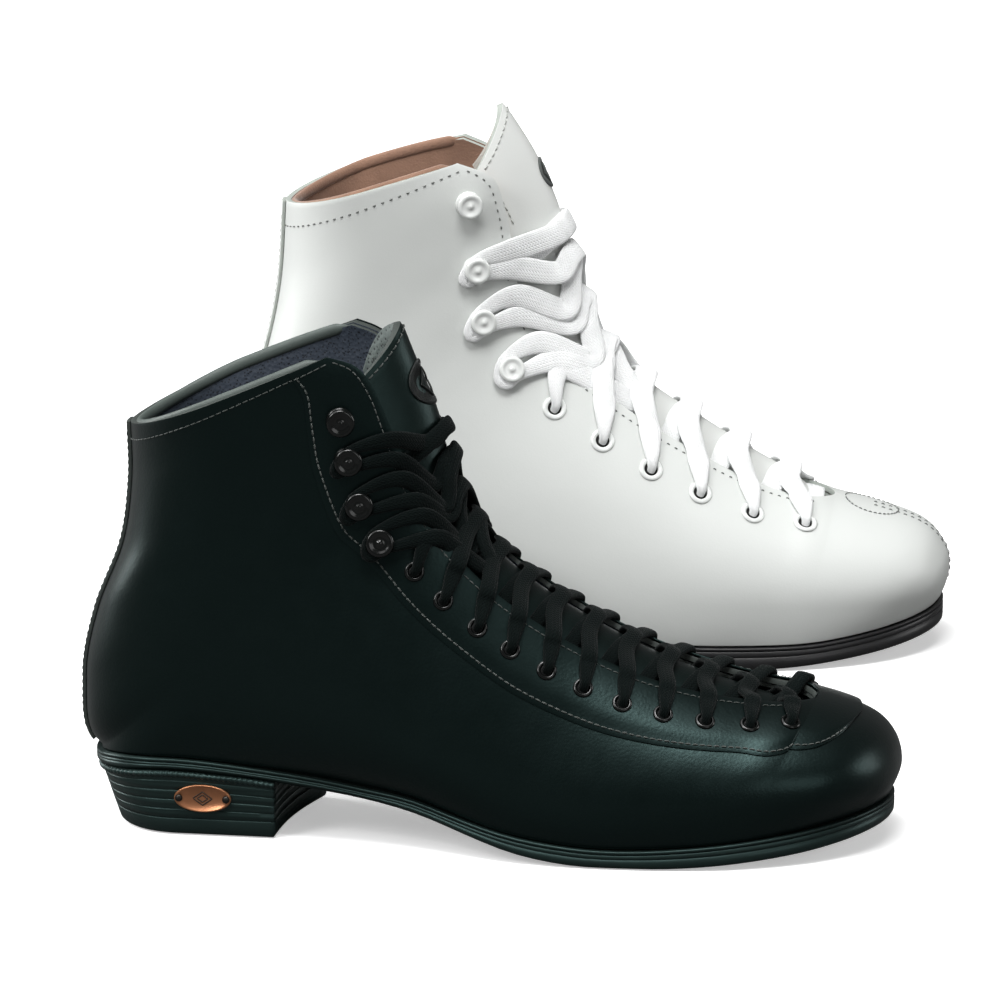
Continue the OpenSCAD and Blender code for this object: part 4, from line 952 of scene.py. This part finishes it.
def build_plaque():
    """Oval plate on the heel, with a raised rim, a plain lozenge and two pins."""
    lo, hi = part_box("black_heel_plaque")
    centre = (np.array(lo) + np.array(hi)) / 2 * 1000
    w, h = (hi[0] - lo[0]) * 500, (hi[2] - lo[2]) * 500
    face = lo[1] * 1000
    a = np.linspace(0, 2 * math.pi, 65)[:-1]

    def oval(k, out):
        return np.stack([centre[0] + w * k * np.cos(a) + 0 * out, 0 * a + face + 1 - out,
                         centre[2] + h * k * np.sin(a)], -1)

    rings = np.stack([oval(1, 0), oval(1, .8), oval(.97, 1.05), oval(.9, 1.05), oval(.86, .7),
                      oval(.02, .7)])
    v, f = sweep(rings)
    ob = mesh_object("heel_plate", v / 1000, f, [M["copper"]])
    clean(ob)
    piece(ob, "black_boot", ["black_heel_plaque"])
    marks = []
    for size in (.55, 1):
        pts = np.array([[-3.4, 0], [0, 2.4], [3.4, 0], [0, -2.4], [-3.4, 0]]) * size
        path = np.concatenate([np.linspace(pts[i], pts[i + 1], 10)[:-1] for i in range(4)])
        p = np.stack([centre[0] + path[:, 0], 0 * path[:, 0] + face + .25,
                      centre[2] + path[:, 1]], -1)
        marks.append(tube(p, np.tile([0.0, -1.0, 0.0], (len(p), 1)), .55, .3, 8, closed=True))
    v, f = join(marks)
    piece(mesh_object("heel_plate_mark", v / 1000, f, [M["copper_dark"]]), "black_boot")
    heads = []
    for k in (-1, 1):
        shape = lathe([(.01, 1.0), (.8, .85), (1.3, .45), (1.4, 0), (.8, -.05), (.8, -2.5),
                       (.01, -2.5)])
        heads.append(stand(shape, np.array([centre[0] + k * 8.5, face, centre[2]]), [0, -1, 0]))
    v, f = join(heads)
    ob = mesh_object("heel_plate_pins", v / 1000, f, [M["pin"]])
    clean(ob)
    piece(ob, "black_boot", ["black_plaque_pins"])


# ---- Eyelets, hooks and laces ----

def build_hardware(b):
    name, s, _ = boot_set(b)
    r, up = b["eyelet_r"], b["raise_"]
    for side, word in ((LATERAL, "lateral"), (MEDIAL, "medial")):
        rings, hole_shade_plugs, hooks = [], [], []
        for t in b["eyelets"]:
            p = skin(b, t, b["eyelet_u"], side, up)
            n = skin_normal(b, t, b["eyelet_u"], side)
            rings.append(stand(lathe([
                (r * .54, -1.2), (r * .55, .1), (r * .62, .55), (r * .78, .82), (r * .92, .6),
                (r, .2), (r * .97, -.1)]), p, n))
            # a near-black disc fills each eyelet's bore, painted shade for the depth of the hole
            hole_shade_plugs.append(stand(lathe([(.01, .12), (r * .56, .12), (r * .56, -.6), (.01, -.6)]),
                               p, n))
        for t in b["hooks"]:
            p = skin(b, t, HOOK_U, side, up)
            n = skin_normal(b, t, HOOK_U, side)
            hooks.append(stand(lathe([
                (.01, -.3), (4.9, -.3), (5, .25), (4.4, .8), (2.6, 1.0), (1.9, 1.4), (1.8, 2.9),
                (3.2, 3.2), (4.5, 3.3), (5.0, 3.75), (4.9, 4.3), (4.3, 4.75), (3.5, 4.7),
                (2.9, 4.25), (1.2, 4.15), (.9, 4.5), (.01, 4.62)], 36), p, n))
        part(b, "_eyelet_rings_" + word, join(rings), s["enamel"],
             [name + "_eyelets_" + word], outward=True)
        part(b, "_eyelet_hole_shade_" + word, join(hole_shade_plugs), M["painted_hole_shade"])
        part(b, "_speed_hooks_" + word, join(hooks), s["enamel"],
             [name + "_hooks_" + word], outward=True)


def on_skin(b, t, u, side, off, w, h):
    """Point, normal, width and thickness of a lace on the upper."""
    return np.concatenate([skin(b, t, u, side, off), skin_normal(b, t, u, side), [w, h]])


def on_tongue(b, s, v, off, w, h):
    """Point, normal, width and thickness of a lace on the tongue."""
    n = unit(tongue_point(b, s, v, 1.0) - tongue_point(b, s, v, 0.0))
    return np.concatenate([tongue_point(b, s, v, off), n, [w, h]])


def over(side):
    """Height of a lace above the tongue where the two halves cross."""
    return 3.3 if side == LATERAL else 1.8


def eyelet_strand(b, t0, t1, side, w, up):
    """From an eyelet at station t0 across the tongue to under the next one at t1."""
    u, thin, thick, tm = b["eyelet_u"], min(w * .6, 3.6), LACE_T * 1.3, (t0 + t1) / 2

    def at(f):
        return t0 + (t1 - t0) * f
    return [
        on_skin(b, t0, u, side, HOLE_IN, thin, thick),
        on_skin(b, t0, u + .015, side, up + 1.1, thin, thick),
        on_skin(b, at(.16), 1.9, side, up + 1.2, w, LACE_T),
        on_skin(b, at(.26), 1.99, side, up + 1.3, w, LACE_T),
        on_tongue(b, tm - FOOT_ROWS, side * .42, over(side), w, LACE_T),
        on_tongue(b, tm - FOOT_ROWS, 0, over(side) + .2, w, LACE_T),
        on_tongue(b, at(.66) - FOOT_ROWS, -side * .38, over(side) * .8, w, LACE_T),
        on_tongue(b, at(.76) - FOOT_ROWS, -side * .66, 1, w * .9, LACE_T),
        on_tongue(b, at(.88) - FOOT_ROWS, -side * .86, .7, w * .8, LACE_T)]


def hook_strand(b, s, t1, side, w, up, lift):
    """Across the tongue at row s, round the hook at station t1, and back to the edge."""
    grip, dip, rise = 3.1, .55, b["rise"]
    dt, du, u = grip / 11, grip / 62, HOOK_U
    return [
        on_tongue(b, s - rise - dip, side * .55, 1.5 + lift, w, LACE_T),
        on_tongue(b, s - rise * .5 - dip * .35, side * .3, 1.8 + lift, w, LACE_T),
        on_tongue(b, s, 0, 1.8 + lift, w, LACE_T),
        on_tongue(b, s + rise * .5 - dip * .35, -side * .3, 1.8 + lift, w, LACE_T),
        on_tongue(b, s + rise - dip, -side * .55, 1.5 + lift, w, LACE_T),
        on_skin(b, t1 - .9, 1.97, -side, up + 1.6, w, LACE_T),
        on_skin(b, t1 - dt * .9, u + .03, -side, up + 2.1, w * .6, LACE_T * 1.2),
        on_skin(b, t1 - dt * .4, u - du * 1.4, -side, up + 2.1, w * .6, LACE_T * 1.2),
        on_skin(b, t1 + dt * .4, u - du * 1.4, -side, up + 2.1, w * .6, LACE_T * 1.2),
        on_skin(b, t1 + dt * .9, u + .03, -side, up + 2.1, w * .6, LACE_T * 1.2),
        on_skin(b, t1 - .25, 1.97, -side, up + 1.6, w, LACE_T)]


def lace_half(b, side, w, up):
    """Route of half a lace, from the throat's end to behind the tongue's top."""
    te, th, n = b["eyelets"], b["hooks"], len(b["eyelets"])
    u, thin, last = b["eyelet_u"], min(w * .6, 3.6), te[-1]

    def flip(k):
        return side if k % 2 == 0 else -side
    end, more = flip(n + 2), 1.5 if side == LATERAL else 0
    route = [on_tongue(b, te[0] - 3.95, side * .02, .9, w, LACE_T),
             on_tongue(b, te[0] - 3.95, side * .6, .7, w, LACE_T)]
    for k in range(n - 1):
        route += eyelet_strand(b, te[k], te[k + 1], flip(k), w, up)
    route += [on_skin(b, last, u, flip(n - 1), HOLE_IN, thin, LACE_T * 1.3),
              on_skin(b, last, u + .015, flip(n - 1), up + 1.1, thin, LACE_T * 1.3),
              on_skin(b, last + .2, 1.95, flip(n - 1), up + 1.2, w, LACE_T)]
    for k in range(3):
        route += hook_strand(b, b["crossings"][k], th[k], flip(n - 1 + k), w, up, more + .3 * k)
    top = b["crossings"][3]
    route += [on_tongue(b, top - .1, end * .45, 1.4 + more, w, LACE_T),
              on_tongue(b, top, 0, 1.6 + more, w, LACE_T),
              on_tongue(b, top - .1, -end * .5, 1.4 + more, w, LACE_T),
              on_tongue(b, top - .3, -end * .85, .9, w, LACE_T),
              on_tongue(b, top - .8, -end * .97, -3, w * .7, LACE_T)]
    return np.array(route)


def build_laces(b):
    name, s, _ = boot_set(b)
    parts, weave, sides = [], [], 18
    for side in (LATERAL, MEDIAL):
        route = spline(lace_half(b, side, b["lace_w"], b["raise_"]), 10)
        parts.append(tube(route[:, :3], unit(route[:, 3:6]), route[:, 6],
                          route[:, 7] * b["plump"], sides, 2.6))
        across = np.cos(np.arange(sides) * 2 * math.pi / sides) * b["lace_w"] / 2
        d = along(route[:, :3])
        weave.append(np.stack([np.repeat(d, sides), np.tile(across, len(d)),
                               np.zeros(len(d) * sides)], -1))
    v, f = join(parts)
    ob = mesh_object(name + "_laces", place(b, v), f, [s["lace"]])
    data = ob.data.attributes.new("weave", "FLOAT_VECTOR", "POINT")
    data.data.foreach_set("vector", np.concatenate(weave).astype(np.float32).ravel())
    piece(ob, name + "_boot", [name + "_lace"])


for boot in (BLACK, WHITE):
    build_upper(boot)
    build_backstay(boot)
    build_stitches(boot)
    build_tongue(boot)
    build_badge(boot)
    build_sole(boot)
    build_heel(boot)
    build_hardware(boot)
    build_laces(boot)
build_eyestay()
build_plaque()

# CAD pieces that stay as they are, inside the boots
for node, use in [("heel_nails", "steel"), ("shank", "steel"), ("filler", "cork"),
                  ("insole", "board"), ("counter", "board"), ("toe_box", "board")]:
    for colour in ("black", "white"):
        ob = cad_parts[colour + "_" + node]
        ob.data.materials.clear()
        ob.data.materials.append(M[use])
for colour, use in (("black", "footbed"), ("white", "footbed_tan")):
    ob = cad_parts[colour + "_footbed"]
    ob.data.materials.clear()
    ob.data.materials.append(M[use])


# ---- Camera, light and floor ----

AZIMUTH, ELEVATION = math.radians(9), math.radians(14)
DISTANCE, LENS = 3.048, 306
right = np.array([math.cos(AZIMUTH), math.sin(AZIMUTH), 0])
back = np.array([math.sin(AZIMUTH) * math.cos(ELEVATION),
                 -math.cos(AZIMUTH) * math.cos(ELEVATION), math.sin(ELEVATION)])
upward = np.cross(back, right)
target = right * .1467 + upward * .1098 + np.array([-.045, 0, 0])
camera_data = bpy.data.cameras.new("camera")
camera_data.sensor_width = 36
camera_data.lens = LENS
camera = add("camera", camera_data)
camera.location = Vector(target + back * DISTANCE)
camera.rotation_euler = Vector(-back).to_track_quat("-Z", "Y").to_euler()
bpy.context.scene.camera = camera


def area(name, location, at, size, power, size_y=None):
    data = bpy.data.lights.new(name, "AREA")
    data.energy = power
    data.shape = "RECTANGLE"
    data.size = size
    data.size_y = size_y or size
    ob = add(name, data)
    ob.location = location
    ob.rotation_euler = (Vector(at) - Vector(location)).to_track_quat("-Z", "Y").to_euler()


area("key", (-1.3, -1.6, 1.5), (.1, .1, .1), .8, 24)
area("fill", (1.6, -1.7, .9), (.1, .1, .1), 1.0, 6)
area("top", (.15, -.5, 1.5), (.15, .0, 0), .6, 15, .5)
area("rim", (-1.7, .6, .7), (.0, .1, .1), .9, 26)
area("rim_toe", (1.9, .5, .6), (.2, .1, .05), .8, 7)
sun = bpy.data.lights.new("sky_panel", "SUN")
sun.energy = 2.0
sun.angle = 1.2
lamp = add("sky_panel", sun)
lamp.rotation_euler = (math.radians(12), math.radians(-14), 0)

# A white paper floor; in the light it throws back on the boots it is a dimmer grey
paper = material("paper", (.93, .93, .93), .9, [("noise", 200, .05)], .01, 5)
nodes, links = paper.node_tree.nodes, paper.node_tree.links
shader = nodes["Principled BSDF"]
put(shader, "Emission Color", (1, 1, 1, 1))
seen = nodes.new("ShaderNodeLightPath").outputs["Is Camera Ray"]
for socket, low, high in (("Base Color", .1, .93), ("Emission Strength", 0, .42)):
    tone = nodes.new("ShaderNodeMapRange")
    put(tone, "To Min", low)
    put(tone, "To Max", high)
    links.new(seen, tone.inputs["Value"])
    links.new(tone.outputs[0], shader.inputs[socket])
floor = mesh_object("floor", [(-9, -9, -.0005), (9, -9, -.0005), (9, 12, -.0005),
                              (-9, 12, -.0005)], [(0, 1, 2, 3)], [paper])

# The camera sees a white sheet behind the boots; they are lit by a dimmer room
world = bpy.data.worlds.new("studio")
world.use_nodes = True
tree = world.node_tree
sky = tree.nodes["Background"]
put(sky, 0, (1, 1, 1, 1))
level = tree.nodes.new("ShaderNodeMapRange")
put(level, "To Min", .13)
put(level, "To Max", 1.0)
tree.links.new(tree.nodes.new("ShaderNodeLightPath").outputs["Is Camera Ray"],
               level.inputs["Value"])
tree.links.new(level.outputs[0], sky.inputs[1])
bpy.context.scene.world = world
bpy.context.scene.view_settings.view_transform = "Standard"
